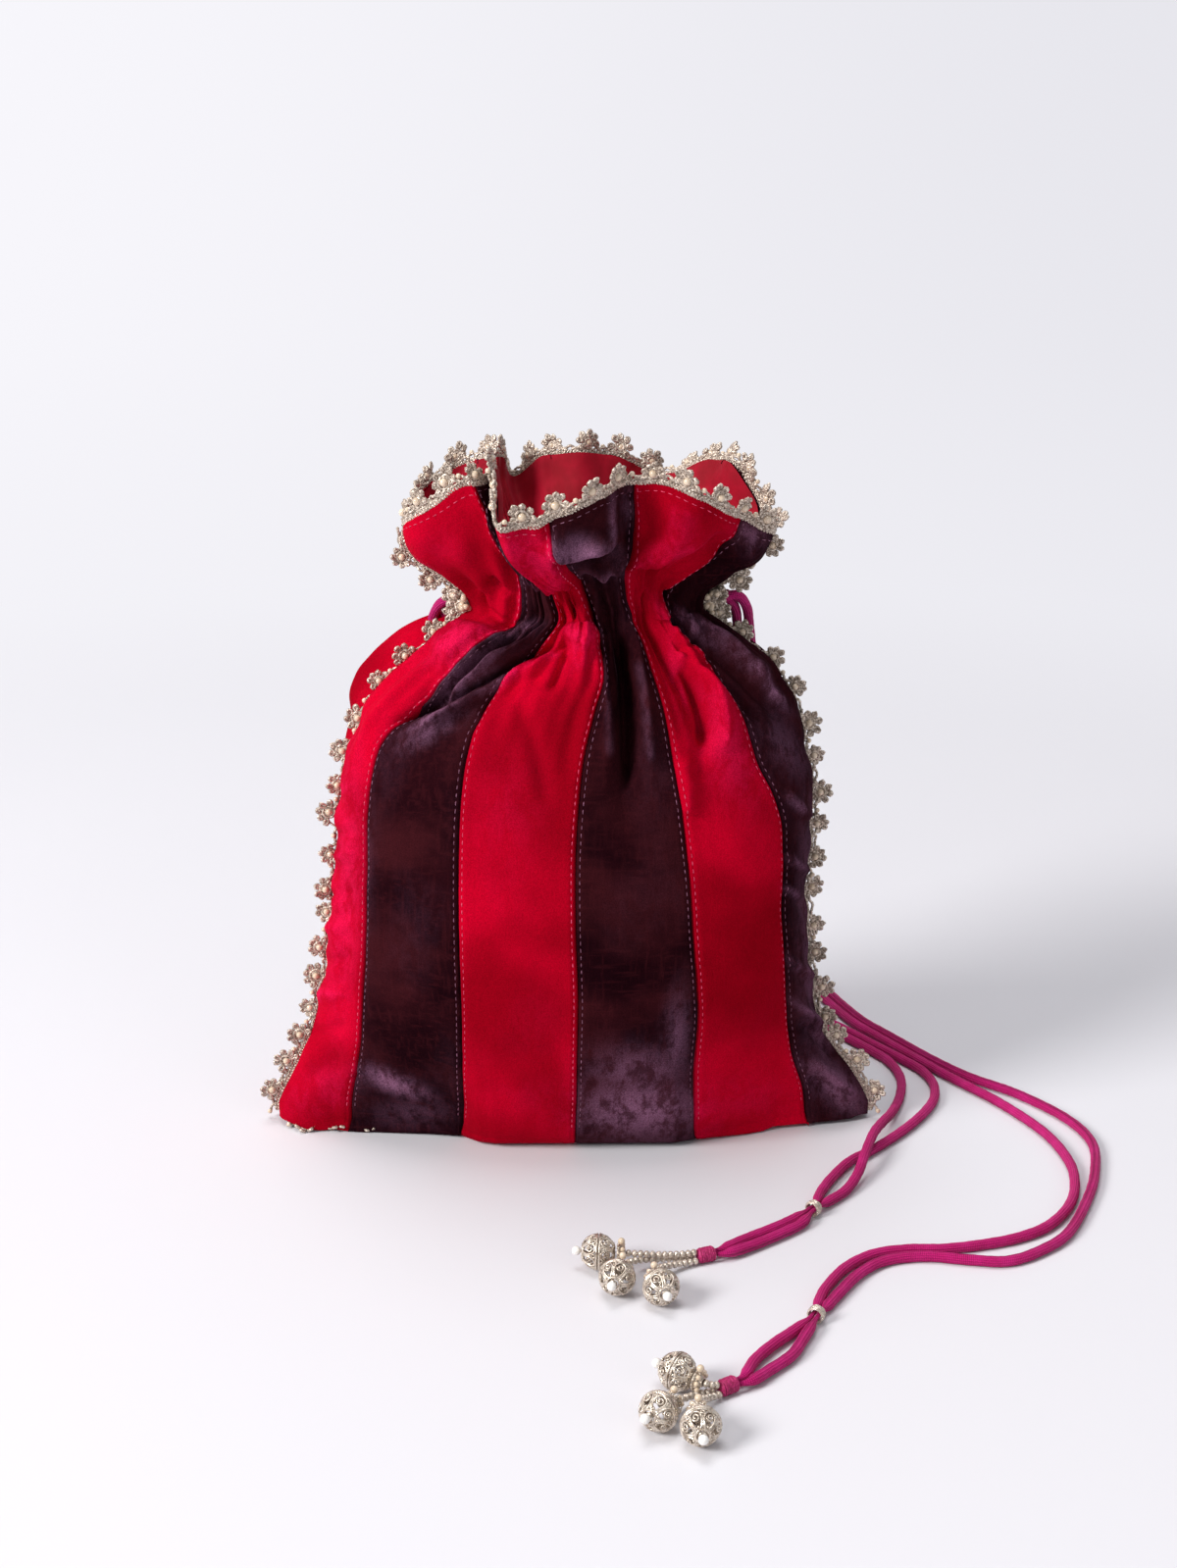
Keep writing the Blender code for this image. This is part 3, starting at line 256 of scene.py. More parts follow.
RIGHT_INNER = (
    (88.0, 122.5), (94.0, 124.5), (98.4, 120.6), (104.9, 101.0), (112.1, 82.3), (120.6, 67.3),
    (134.6, 44.2), (146.0, 26.5), (158.4, 7.8), (169.8, -16.0), (174.0, -38.0), (172.4, -55.5),
    (167.2, -70.5), (157.6, -84.0), (146.0, -92.0), (133.1, -96.6), (120.4, -99.3), (109.0, -99.6),
    (97.6, -102.6), (87.6, -111.0), (80.0, -123.3), (76.6, -132.5),
)
RIGHT_KEEPER = (75.1, -140.5)
RIGHT_KEEPER_AIM = (-0.45, -0.89)
RIGHT_OUTER_END = ((70.6, -151.8), (65.8, -162.0), (58.6, -170.0))
RIGHT_INNER_END = ((68.6, -147.6), (61.0, -156.0), (54.6, -164.8))
RIGHT_WHIPPING = (48.2, -177.6)
RIGHT_WHIPPING_AIM = (-0.84, -0.54)
LEFT_DROP = (
    (-38.5, 4.8, 193.5), (-43.5, 8.0, 191.5), (-47.0, 14.5, 184.5), (-51.0, 24.0, 172.0),
    (-57.0, 33.5, 148.0), (-58.0, 38.0, 118.0), (-57.5, 40.5, 88.0), (-56.5, 42.5, 52.0),
    (-54.0, 46.5, 24.0), (-49.0, 54.0, 8.0), (-40.0, 61.0, 2.2),
)
LEFT_OUTER = (
    (-20.0, 72.4), (6.0, 80.4), (34.0, 87.0), (60.0, 91.8), (82.0, 93.5), (95.0, 90.2), (107.0, 76.6),
    (119.6, 57.8), (127.2, 46.6), (133.2, 36.6), (135.9, 25.0), (134.4, 12.6), (129.6, 1.6), (121.9, -10.5),
    (112.4, -22.6), (104.4, -31.3), (96.9, -38.6), (89.8, -50.0), (84.8, -60.5),
)
LEFT_INNER = (
    (-19.0, 68.0, 1.8), (7.0, 76.0, 1.8), (34.6, 82.6, 1.8), (60.0, 87.4, 1.8), (80.0, 89.0, 1.8),
    (92.0, 86.0, 1.8), (103.4, 73.6, 1.8), (115.8, 55.4, 1.8), (121.8, 44.6, 1.8), (124.2, 30.1, 1.8),
    (121.8, 14.0, 1.9), (116.8, -1.0, 2.6), (111.8, -13.0, 4.6), (107.6, -23.0, 5.8), (104.6, -32.0, 6.0),
    (101.8, -41.0, 5.6), (98.2, -51.0, 3.4), (93.2, -60.0, 2.0), (87.0, -67.2, 2.0),
)
LEFT_KEEPER = (80.8, -73.9)
LEFT_KEEPER_AIM = (-0.62, -0.785)
LEFT_OUTER_END = ((73.4, -80.2), (66.6, -86.0), (57.4, -92.8))
LEFT_INNER_END = ((76.0, -82.9), (69.4, -89.0), (60.0, -96.4))
LEFT_WHIPPING = (46.0, -103.2)
LEFT_WHIPPING_AIM = (-0.93, -0.36)
LEFT_DROPS = (
    ((8.5, -108.7), (-1.0, 0.05, 0.03)),
    ((14.3, -124.5), (-0.25, -0.96, 0.11)),
    ((27.9, -130.4), (0.25, -0.96, 0.10)),
)
RIGHT_DROPS = (
    ((31.2, -177.4), (-0.84, 0.54, 0.07)),
    ((25.1, -197.3), (-0.56, -0.80, 0.18)),
    ((36.6, -204.3), (0.05, -0.99, 0.02)),
)
Drawcord = namedtuple(
    "Drawcord",
    "side drop outer inner keeper keeper_aim outer_end inner_end whipping whipping_aim drops",
)
DRAWCORDS = {
    "right": Drawcord(
        1, RIGHT_DROP, RIGHT_OUTER, RIGHT_INNER, RIGHT_KEEPER, RIGHT_KEEPER_AIM, RIGHT_OUTER_END,
        RIGHT_INNER_END, RIGHT_WHIPPING, RIGHT_WHIPPING_AIM, RIGHT_DROPS,
    ),
    "left": Drawcord(
        -1, LEFT_DROP, LEFT_OUTER, LEFT_INNER, LEFT_KEEPER, LEFT_KEEPER_AIM, LEFT_OUTER_END,
        LEFT_INNER_END, LEFT_WHIPPING, LEFT_WHIPPING_AIM, LEFT_DROPS,
    ),
}

PHOTO_WIDTH, PHOTO_HEIGHT = 1200, 1599
LENS, SENSOR = 50.0, 36.0
CAMERA_PLACE = np.array((0.0054, -0.7275, 0.358))
CAMERA_PITCH = math.radians(17.5)
FOCAL_PIXELS = LENS / SENSOR * PHOTO_HEIGHT


def to_photo(points):
    """Where points fall in the photograph's frame, in its pixels."""
    away = points - CAMERA_PLACE
    ahead = np.array((0.0, math.cos(CAMERA_PITCH), -math.sin(CAMERA_PITCH)))
    up = np.array((0.0, math.sin(CAMERA_PITCH), math.cos(CAMERA_PITCH)))
    depth = away @ ahead
    x = PHOTO_WIDTH / 2 + FOCAL_PIXELS * away[..., 0] / depth
    y = PHOTO_HEIGHT / 2 - FOCAL_PIXELS * (away @ up) / depth
    return np.stack([x, y], axis=-1)


def add_camera():
    data = bpy.data.cameras.new("camera")
    data.lens = LENS
    data.sensor_width = SENSOR
    data.clip_start = 0.01
    data.clip_end = 50.0
    camera = bpy.data.objects.new("camera", data)
    camera.location = CAMERA_PLACE
    camera.rotation_euler = (math.pi / 2 - CAMERA_PITCH, 0.0, 0.0)
    bpy.context.scene.collection.objects.link(camera)
    bpy.context.scene.camera = camera


STEP = 1e-3


def pulls_at(slopes):
    """How fast a curve runs at each knot, from the slopes between the knots. It rests where it turns back."""
    pulls = np.empty((len(slopes) + 1, *slopes.shape[1:]))
    pulls[0], pulls[-1] = slopes[0], slopes[-1]
    onward = slopes[:-1] * slopes[1:] > 0
    total = np.where(onward, slopes[:-1] + slopes[1:], 1.0)
    pulls[1:-1] = np.where(onward, 2 * slopes[:-1] * slopes[1:] / total, 0.0)
    return pulls


def between_knots(low, high, low_pull, high_pull, span, t):
    return (
        low * (1 + 2 * t) * (1 - t) ** 2
        + low_pull * span * t * (1 - t) ** 2
        + high * t * t * (3 - 2 * t)
        + high_pull * span * t * t * (t - 1)
    )


def monotone(knots, values, at):
    """A smooth curve through the values that never swings past them."""
    knots, values = np.asarray(knots, float), np.asarray(values, float)
    at = np.clip(np.asarray(at, float), knots[0], knots[-1])
    spans = np.diff(knots)
    pulls = pulls_at(np.diff(values) / spans)
    i = np.clip(np.searchsorted(knots, at, side="right") - 1, 0, len(spans) - 1)
    t = (at - knots[i]) / spans[i]
    return between_knots(values[i], values[i + 1], pulls[i], pulls[i + 1], spans[i], t)


def ramp(low, high, at):
    t = np.clip((at - low) / (high - low), 0.0, 1.0)
    return t * t * (3 - 2 * t)


def column(field, row):
    return monotone(range(len(ROWS)), [getattr(each, field) for each in ROWS], row)


def section_angle(across, row, side):
    """The angle round the bag's section: -90 degrees at the left seam, 90 at the right one."""
    seams = SEAMS[side]
    seam_rows = sorted(seams)
    sewn = [monotone(seam_rows, [math.asin(seams[r][k]) for r in seam_rows], row) for k in range(STRIPS - 1)]
    quarter = np.full(row.shape, math.pi / 2)
    angles = np.stack([-quarter, *sewn, quarter])
    width = 2 / STRIPS
    pulls = pulls_at(np.diff(angles, axis=0) / width)
    at = (np.clip(across, -1, 1) + 1) / width
    i = np.clip(at.astype(int), 0, STRIPS - 1)[None]
    low, high, low_pull, high_pull = (
        np.take_along_axis(values, k, 0)[0] for values in (angles, pulls) for k in (i, i + 1)
    )
    return between_knots(low, high, low_pull, high_pull, width, at - i[0])


def edge_wave(across, row):
    """The side seams' small swings in and out, which the panels, the lining and the lace share."""
    z = column("edge_height", row) / MM
    left = 0.6 * np.sin(z / 3.6 + 0.6) + 0.4 * np.sin(z / 2.1 + 2.0)
    right = 0.5 * np.sin(z / 4.1 + 1.0) + 0.3 * np.sin(z / 2.1)
    swing = np.where(across < 0, -left, right) * ramp(0.62, 1.0, np.abs(across))
    return swing * MM * ramp(5.0, 6.5, row) * (1 - ramp(10.5, 13.0, row))


def smooth_skin(across, row, side, inset=0.0, side_inset=0.0):
    angle = section_angle(across, row, side)
    half_width = column("half_width", row) - inset - side_inset
    half_depth = np.maximum(column("half_depth", row) - inset, 0.0)
    x = column("shift", row) + half_width * np.sin(angle) + edge_wave(across, row)
    full_depth = np.where(row < HEEL_ROW, np.maximum(half_depth, HEEL_DEPTH - inset), half_depth)
    out = np.minimum(half_depth, full_depth * np.maximum(np.cos(angle), 0.0) ** FULLNESS)
    if side < 0:
        share = np.interp(x / MM, *zip(*FOOT_SHARE))
        out = out * (1 - (1 - share) * (1 - ramp(4.0, 8.0, row)))
    middle = 1 - ramp(0.72, 1.0, np.abs(across))
    z = column("edge_height", row) * (1 - middle) + column("height", row) * middle
    under_lace = SEAM_LIFT * (1 - ramp(BOTTOM_LACE_REACH, FOOT_INNER_DEPTH, out))
    z = np.maximum(z, under_lace)
    return np.stack([x, side * (GAP / 2 + out), z], axis=-1)


def fold_strength(fold, across, row):
    t = (row - fold.row_a) / (fold.row_b - fold.row_a)
    inside = (t > 0) & (t <= 1)
    t = np.clip(t, 0.0, 1.0)
    along = ramp(0.0, 1.0, t) if fold.row_b >= LIP_ROW else np.sin(math.pi * t) ** 1.2
    middle = fold.across_a + (fold.across_b - fold.across_a) * t
    away = np.clip(np.abs(across - middle) / fold.half_width, 0.0, 1.0)
    return np.where(inside, along * 0.5 * (1 + np.cos(math.pi * away)), 0.0)


def unit(ways):
    return ways / np.maximum(np.linalg.norm(ways, axis=-1, keepdims=True), TINY)


def outward(surface, across, row, side):
    """The way that a surface of the bag faces."""
    low_row, high_row = (np.clip(row + step, 0, LIP_ROW) for step in (-STEP, STEP))
    low_across, high_across = (np.clip(across + step, -1, 1) for step in (-STEP, STEP))
    up = surface(across, high_row, side) - surface(across, low_row, side)
    right = surface(high_across, row, side) - surface(low_across, row, side)
    return unit(np.cross(right, up) * -side)


def skin(across, row, side):
    """The velvet's smooth outer face with the neck's and the ruffle's folds."""
    across, row = np.broadcast_arrays(np.asarray(across, float), np.asarray(row, float))
    point = smooth_skin(across, row, side)
    normal = outward(smooth_skin, across, row, side)
    fade = 1 - ramp(0.90, 1.0, np.abs(across))
    ruffle_height = MOUTH_HEIGHT - NECK_HEIGHT
    for fold in (*NECK_FOLDS[side], *RUFFLES[side]):
        strength = (fold_strength(fold, across, row) * fade)[..., None]
        point = point + strength * (fold.push * normal - np.array([0.0, 0.0, fold.droop * ruffle_height]))
    return point


def lining_face(across, row, side, depth):
    inset = column("lining_inset", row) + depth
    side_room = LINING_SIDE_ROOM * (1 - ramp(13.0, 15.0, row))
    body = smooth_skin(across, row, side, inset, side_room)
    floor = SEAM_LIFT + CLOTH + GAP + LINING_REST + depth
    body[..., 2] = np.maximum(body[..., 2] + (CLOTH + GAP + depth) * (1 - ramp(4.0, 8.0, row)), floor)
    return body


class Batch:
    """Points and faces of many small shapes, made into one mesh. Each point may carry some values."""

    def __init__(self, *names):
        self.points, self.faces, self.count = [], [], 0
        self.values = {name: [] for name in names}

    def add(self, points, faces, **values):
        points = np.asarray(points, float).reshape(-1, 3)
        self.points.append(points)
        self.faces.append(np.asarray(faces, int) + self.count)
        self.count += len(points)
        for name, kept in self.values.items():
            kept.append(np.broadcast_to(np.asarray(values[name], float), (len(points),)))

    def make(self, name, material):
        points = np.concatenate(self.points)
        sizes = np.concatenate([np.full(len(faces), faces.shape[1]) for faces in self.faces])
        loops = np.concatenate([faces.ravel() for faces in self.faces])
        starts = np.concatenate([[0], np.cumsum(sizes)[:-1]])
        mesh = bpy.data.meshes.new(name)
        mesh.vertices.add(len(points))
        mesh.vertices.foreach_set("co", points.astype(np.float32).ravel())
        mesh.loops.add(len(loops))
        mesh.loops.foreach_set("vertex_index", loops.astype(np.int32))
        mesh.polygons.add(len(sizes))
        mesh.polygons.foreach_set("loop_start", starts.astype(np.int32))
        mesh.update(calc_edges=True)
        mesh.validate()
        mesh.shade_smooth()
        for each, kept in self.values.items():
            attribute = mesh.attributes.new(each, "FLOAT", "POINT")
            attribute.data.foreach_set("value", np.concatenate(kept).astype(np.float32))
        mesh.materials.append(material)
        thing = bpy.data.objects.new(name, mesh)
        bpy.context.scene.collection.objects.link(thing)
        return thing


def finish_piece(thing, slot, *nodes):
    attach(thing, "root")
    if nodes:
        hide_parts(*nodes)
    return thing


def grid_quads(rows, columns, flip=False, ring=False):
    """Four-sided faces over a grid of points. A ring's last column joins its first."""
    i = np.arange(rows - 1)[:, None]
    j = np.arange(columns if ring else columns - 1)[None, :]
    k = (j + 1) % columns
    low, high = i * columns, (i + 1) * columns
    corners = (low + j, low + k, high + k, high + j)
    if flip:
        corners = corners[::-1]
    return np.stack([np.broadcast_to(c, (rows - 1, j.shape[1])) for c in corners], axis=-1).reshape(-1, 4)


def frames_along(points, up=UP, closed=False):
    """Unit ways along a line of points, and two unit ways across it that don't twist."""
    if closed:
        ways = unit(np.roll(points, -1, axis=0) - np.roll(points, 1, axis=0))
    else:
        ways = unit(np.gradient(points, axis=0))
    last = np.array(up, float)
    if abs(last @ ways[0]) > 0.95:
        last = np.array((1.0, 0.0, 0.0)) if abs(ways[0][0]) < 0.9 else np.array((0.0, 1.0, 0.0))
    side = np.empty_like(ways)
    for i, way in enumerate(ways):
        last = last - way * (last @ way)
        last /= max(np.linalg.norm(last), TINY)
        side[i] = last
    return ways, side, np.cross(ways, side)


def add_tube(batch, points, radii, sides, closed=False, up=UP, **values):
    """A tube along a line of points, with one radius or one for each, and with caps unless it is closed."""
    points = np.asarray(points, float)
    _, side, other = frames_along(points, up, closed)
    turn = full_turn(sides)[None, :, None]
    ring = side[:, None] * np.cos(turn) + other[:, None] * np.sin(turn)
    radii = np.broadcast_to(np.asarray(radii, float), len(points))[:, None, None]
    quads = grid_quads(len(points), sides, ring=True)
    start, last = batch.count, (len(points) - 1) * sides
    j = np.arange(sides)
    if closed:
        k = (j + 1) % sides
        quads = np.concatenate([quads, np.stack([last + j, last + k, k, j], axis=-1)])
    batch.add(points[:, None] + ring * radii, quads, **values)
    if not closed:
        batch.faces += [j[None, ::-1] + start, j[None] + last + start]


def above_floor(points):
    points[..., 2] = np.maximum(points[..., 2], FLOOR_CLEARANCE)
    return points


def full_turn(count):
    return np.linspace(0, 2 * math.pi, count, endpoint=False)


def round_points(radius, turn, height):
    """Points at a radius from the Z axis, at angles round it, and at a height."""
    return np.stack(np.broadcast_arrays(radius * np.cos(turn), radius * np.sin(turn), height), axis=-1)


def sphere_template(segments, rings):
    """A unit sphere: its points, its four-sided faces and the triangles at its poles."""
    tilt = np.linspace(0, math.pi, rings + 1)[1:-1, None]
    middle = round_points(np.sin(tilt), full_turn(segments), np.cos(tilt)).reshape(-1, 3)
    points = np.concatenate([[(0, 0, 1)], middle, [(0, 0, -1)]])
    quads = grid_quads(len(tilt), segments, flip=True, ring=True) + 1
    j = np.arange(segments)
    k = (j + 1) % segments
    top = np.stack([np.zeros(segments, int), 1 + j, 1 + k], axis=-1)
    base = 1 + (len(tilt) - 1) * segments
    low = np.stack([np.full(segments, len(points) - 1), base + k, base + j], axis=-1)
    return points, quads, np.concatenate([top, low])


BEAD = sphere_template(10, 7)
FINE_BEAD = sphere_template(20, 14)
LACE_BEAD = sphere_template(14, 9)
LOBE_BEAD = sphere_template(6, 4)
SEED_BEAD = sphere_template(12, 9)


def add_bead(batch, centre, radius, axis=None, stretch=1.0, template=BEAD, **values):
    points, quads, ends = template
    points = points * radius
    if axis is not None:
        points = points * np.array((1.0, 1.0, stretch))
        turn = np.array(Vector(axis).to_track_quat("Z", "Y").to_matrix())
        points = points @ turn.T
    start = batch.count
    batch.add(points + np.asarray(centre, float), quads, **values)
    batch.faces.append(ends + start)


def lengths_along(points):
    steps = np.linalg.norm(np.diff(points, axis=0), axis=1)
    return np.concatenate([[0.0], np.cumsum(steps)])


def interpolated(at, lengths, values):
    """Each coordinate of the values, at lengths between theirs."""
    return np.stack([np.interp(at, lengths, values[:, k]) for k in range(3)], axis=-1)


def respaced(points, step):
    """The line again, with points one step apart."""
    lengths = lengths_along(points)
    count = max(2, int(math.ceil(lengths[-1] / step)) + 1)
    return interpolated(np.linspace(0, lengths[-1], count), lengths, points)


class Nodes:
    """A node tree under construction."""

    def __init__(self, tree):
        self.tree = tree

    def node(self, kind, **fields):
        made = self.tree.nodes.new(kind)
        for field, value in fields.items():
            setattr(made, field, value)
        return made

    def link(self, source, target):
        self.tree.links.new(source, target)

    def put(self, socket, value):
        if isinstance(value, bpy.types.NodeSocket):
            self.link(value, socket)
        else:
            socket.default_value = value

    def fill(self, made, **values):
        for socket, value in values.items():
            self.put(made.inputs[socket.replace("_", " ")], value)
        return made

    def maths(self, operation, a, b=0.0):
        made = self.node("ShaderNodeMath", operation=operation)
        self.put(made.inputs[0], a)
        self.put(made.inputs[1], b)
        return made.outputs[0]

    def either(self, share, a, b):
        made = self.node("ShaderNodeMixShader")
        for socket, source in zip(made.inputs, (share, a, b)):
            self.link(source, socket)
        return made.outputs[0]


class Paint(Nodes):
    """A material under construction: short names for its nodes."""

    def __init__(self, name):
        self.material = bpy.data.materials.new(name)
        self.material.use_nodes = True
        super().__init__(self.material.node_tree)
        self.shader = self.tree.nodes["Principled BSDF"]
        self.place = self.node("ShaderNodeTexCoord").outputs["Object"]

    def set(self, **values):
        names = {
            "colour": "Base Color", "roughness": "Roughness", "metallic": "Metallic", "normal": "Normal",
            "sheen": "Sheen Weight", "sheen_roughness": "Sheen Roughness", "sheen_tint": "Sheen Tint",
            "specular": "Specular IOR Level", "coat": "Coat Weight", "coat_roughness": "Coat Roughness",
        }
        for key, value in values.items():
            self.put(self.shader.inputs[names[key]], value)

    def mapped(self, scale):
        return self.fill(self.node("ShaderNodeMapping"), Vector=self.place, Scale=scale).outputs["Vector"]

    def noise(self, scale, detail=3.0, roughness=0.55, vector=None, distortion=0.0):
        made = self.node("ShaderNodeTexNoise")
        vector = self.place if vector is None else vector
        self.fill(made, Vector=vector, Scale=scale, Detail=detail, Roughness=roughness, Distortion=distortion)
        return made.outputs["Fac"]

    def between(self, value, low, high, to_low=0.0, to_high=1.0):
        made = self.node("ShaderNodeMapRange", interpolation_type="SMOOTHSTEP")
        self.fill(made, Value=value, From_Min=low, From_Max=high, To_Min=to_low, To_Max=to_high)
        return made.outputs["Result"]

    def mix(self, share, a, b, blend="MIX"):
        made = self.node("ShaderNodeMix", data_type="RGBA", blend_type=blend)
        self.put(made.inputs[0], share)
        for socket, value in ((made.inputs[6], a), (made.inputs[7], b)):
            self.put(socket, value if isinstance(value, bpy.types.NodeSocket) else (*value, 1.0))
        return made.outputs[2]

    def attribute(self, name):
        return self.node("ShaderNodeAttribute", attribute_name=name).outputs["Fac"]

    def bump(self, height, distance, strength=1.0, under=None):
        made = self.fill(self.node("ShaderNodeBump"), Height=height, Distance=distance, Strength=strength)
        if under is not None:
            self.link(under, made.inputs["Normal"])
        return made.outputs["Normal"]


def pile_cloth(name, deep, lit, warm, mottled, wear_and_sheen_colour, sheen_tint, sheen, sheen_roughness):
    """Velvet: deep where the pile stands, lit where it leans, with warmer mottles, and a paler colour for
    worn pile and for painted sheen and highlights.
    """
    paint = Paint(name)
    lean = paint.noise(19.0, 2.0, 0.5, None, 0.4)
    colour = paint.mix(paint.between(lean, 0.36, 0.66), deep, lit)
    mottles = paint.noise(30.0, 3.0, 0.55, paint.mapped((0.8, 1.0, 1.1)), 0.3)
    colour = paint.mix(paint.between(mottles, 0.42, 0.72, 0.0, mottled), colour, warm)
    scales = ((1.0, 1.0, 0.10), (0.10, 1.0, 1.0))
    warp, weft = (paint.noise(620.0, 2.0, 0.6, paint.mapped(scale)) for scale in scales)
    woven = paint.between(paint.maths("MAXIMUM", warp, weft), 0.48, 0.72, 0.0, 0.5 * mottled)
    colour = paint.mix(woven, colour, warm)
    speck = paint.noise(2600.0, 2.0, 0.7)
    # This share paints the paler colour: worn pile, and painted sheen and highlights on ridges and turning
    # sides.
    share = paint.maths("MULTIPLY", paint.attribute("nap"), paint.between(speck, 0.25, 0.7, 0.55, 1.0))
    rubbed = paint.noise(150.0, 5.0, 0.72, paint.mapped((1.3, 1.0, 0.7)), 0.15)
    share = paint.maths("MULTIPLY", share, paint.between(rubbed, 0.38, 0.58, 0.22, 1.0))
    colour = paint.mix(share, colour, wear_and_sheen_colour)
    fibre = paint.between(speck, 0.3, 0.7, 0.72, 1.12)
    grey = paint.fill(paint.node("ShaderNodeCombineColor"), Red=fibre, Green=fibre, Blue=fibre)
    colour = paint.mix(1.0, colour, grey.outputs["Color"], "MULTIPLY")
    rows = paint.bump(paint.noise(1500.0, 2.0, 0.6, paint.mapped((1.0, 1.0, 0.3))), 0.00012, 0.5)
    pile = paint.bump(paint.noise(420.0, 3.0, 0.6), 0.00035, 0.35, rows)
    paint.set(
        colour=colour, roughness=0.9, specular=0.015, sheen=sheen, sheen_roughness=sheen_roughness,
        sheen_tint=(*sheen_tint, 1.0), normal=pile,
    )
    return paint.material


def lining_cloth():
    """A plain weave with soft mottles."""
    paint = Paint("lining_cloth")
    mottles = paint.between(paint.noise(60.0, 4.0), 0.35, 0.7)
    colour = paint.mix(mottles, (0.25, 0.0012, 0.010), (0.42, 0.0025, 0.022))
    waves_in = [paint.node("ShaderNodeTexWave", wave_type="BANDS", bands_direction=way) for way in ("Z", "X")]
    weft, warp = (paint.fill(made, Vector=paint.place, Scale=900.0).outputs["Fac"] for made in waves_in)
    woven = paint.bump(paint.maths("MULTIPLY", weft, warp), 0.00012, 0.5)
    paint.set(
        colour=colour, roughness=0.72, specular=0.18, sheen=0.12, sheen_roughness=0.4,
        sheen_tint=(0.9, 0.15, 0.25, 1.0), normal=woven,
    )
    return paint.material


def cord_braid():
    """A fine woven braid, from the turn and length that each point of the tube carries."""
    paint = Paint("cord_braid")
    turn = paint.attribute("turn")
    length = paint.attribute("length")
    along = paint.maths("MULTIPLY", length, 5200.0)
    plies = [
        paint.maths("SINE", paint.maths("ADD", paint.maths("MULTIPLY", turn, lean), along))
        for lean in (7.0, -7.0)
    ]
    plait = paint.maths("MULTIPLY", *plies)
    fine = paint.noise(3200.0, 2.0, 0.6)
    colour = paint.mix(paint.between(plait, -0.8, 0.9), (0.34, 0.0030, 0.085), (0.62, 0.0090, 0.190))
    mottles = paint.between(paint.noise(140.0, 3.0), 0.4, 0.75, 0.0, 0.4)
    colour = paint.mix(mottles, colour, (0.70, 0.020, 0.25))
    normal = paint.bump(fine, 0.0001, 0.4, paint.bump(plait, 0.00022, 0.8))
    paint.set(
        colour=colour, roughness=0.62, specular=0.18, sheen=0.10, sheen_roughness=0.3,
        sheen_tint=(1.0, 0.45, 0.7, 1.0), normal=normal,
    )
    return paint.material


def thread(name, dark, light, metallic, roughness):
    """Twisted metallic or plain thread: short slanting plies and glints."""
    paint = Paint(name)
    plies = paint.noise(1500.0, 2.0, 0.7, None, 0.4)
    grime = paint.noise(260.0, 3.0, 0.6)
    colour = paint.mix(paint.between(plies, 0.36, 0.64), dark, light)
    colour = paint.mix(paint.between(grime, 0.45, 0.7, 0.0, 0.6), colour, dark)
    rough = paint.between(plies, 0.35, 0.65, roughness + 0.12, roughness - 0.08)
    height = paint.maths("ADD", paint.maths("MULTIPLY", plies, 0.7), paint.maths("MULTIPLY", grime, 0.3))
    normal = paint.bump(height, 0.00035, 0.9)
    paint.set(colour=colour, metallic=metallic, roughness=rough, specular=0.5, normal=normal)
    return paint.material


def antique_metal():
    """Worn silver plate with warm tarnish."""
    paint = Paint("antique_metal")
    tarnish = paint.between(paint.noise(420.0, 4.0, 0.65), 0.40, 0.66)
    colour = paint.mix(tarnish, (0.80, 0.71, 0.61), (0.42, 0.34, 0.27))
    rough = paint.between(paint.noise(900.0, 3.0), 0.35, 0.7, 0.22, 0.46)
    pits = paint.bump(paint.noise(1400.0, 3.0), 0.00012, 0.5)
    paint.set(colour=colour, metallic=0.72, roughness=rough, normal=pits)
    return paint.material


def pearl_finish(name, shell, warm):
    paint = Paint(name)
    colour = paint.mix(paint.between(paint.noise(230.0, 2.0), 0.35, 0.7), shell, warm)
    rough = paint.between(paint.noise(1200.0, 2.0), 0.3, 0.7, 0.16, 0.26)
    paint.set(colour=colour, roughness=rough, specular=0.6, coat=0.5, coat_roughness=0.12)
    return paint.material


def floor_finish():
    """A pale floor that takes the shadow near the bag, and further away fades into a pale glowing backdrop
    with painted light, lighter at the left and darker at the right.
    """
    paint = Paint("studio_floor")
    mottles = paint.between(paint.noise(1.3, 2.0), 0.3, 0.7)
    colour = paint.mix(mottles, (0.725, 0.715, 0.752), (0.745, 0.735, 0.772))
    paint.set(colour=colour, roughness=0.75, specular=0.15)
    away = paint.node("ShaderNodeVectorMath", operation="LENGTH")
    paint.link(paint.place, away.inputs[0])
    far = paint.between(away.outputs["Value"], 0.34, 0.95)
    rays = paint.node("ShaderNodeLightPath").outputs
    seen = paint.maths("MAXIMUM", rays["Is Camera Ray"], rays["Is Glossy Ray"])
    seen = paint.maths("MAXIMUM", seen, rays["Is Transmission Ray"])
    sideways = paint.node("ShaderNodeSeparateXYZ")
    paint.link(paint.place, sideways.inputs[0])
    # Painted light: the far backdrop glows lighter at the left and darker at the right.
    painted_side_light = paint.between(sideways.outputs["X"], -1.2, 1.2)
    painted_side_light = paint.mix(painted_side_light, (0.935, 0.925, 0.970), (0.800, 0.795, 0.845))
    glow = paint.fill(paint.node("ShaderNodeEmission"), Color=painted_side_light)
    either = paint.either(paint.maths("MULTIPLY", far, seen), paint.shader.outputs[0], glow.outputs[0])
    paint.link(either, paint.tree.nodes["Material Output"].inputs["Surface"])
    return paint.material
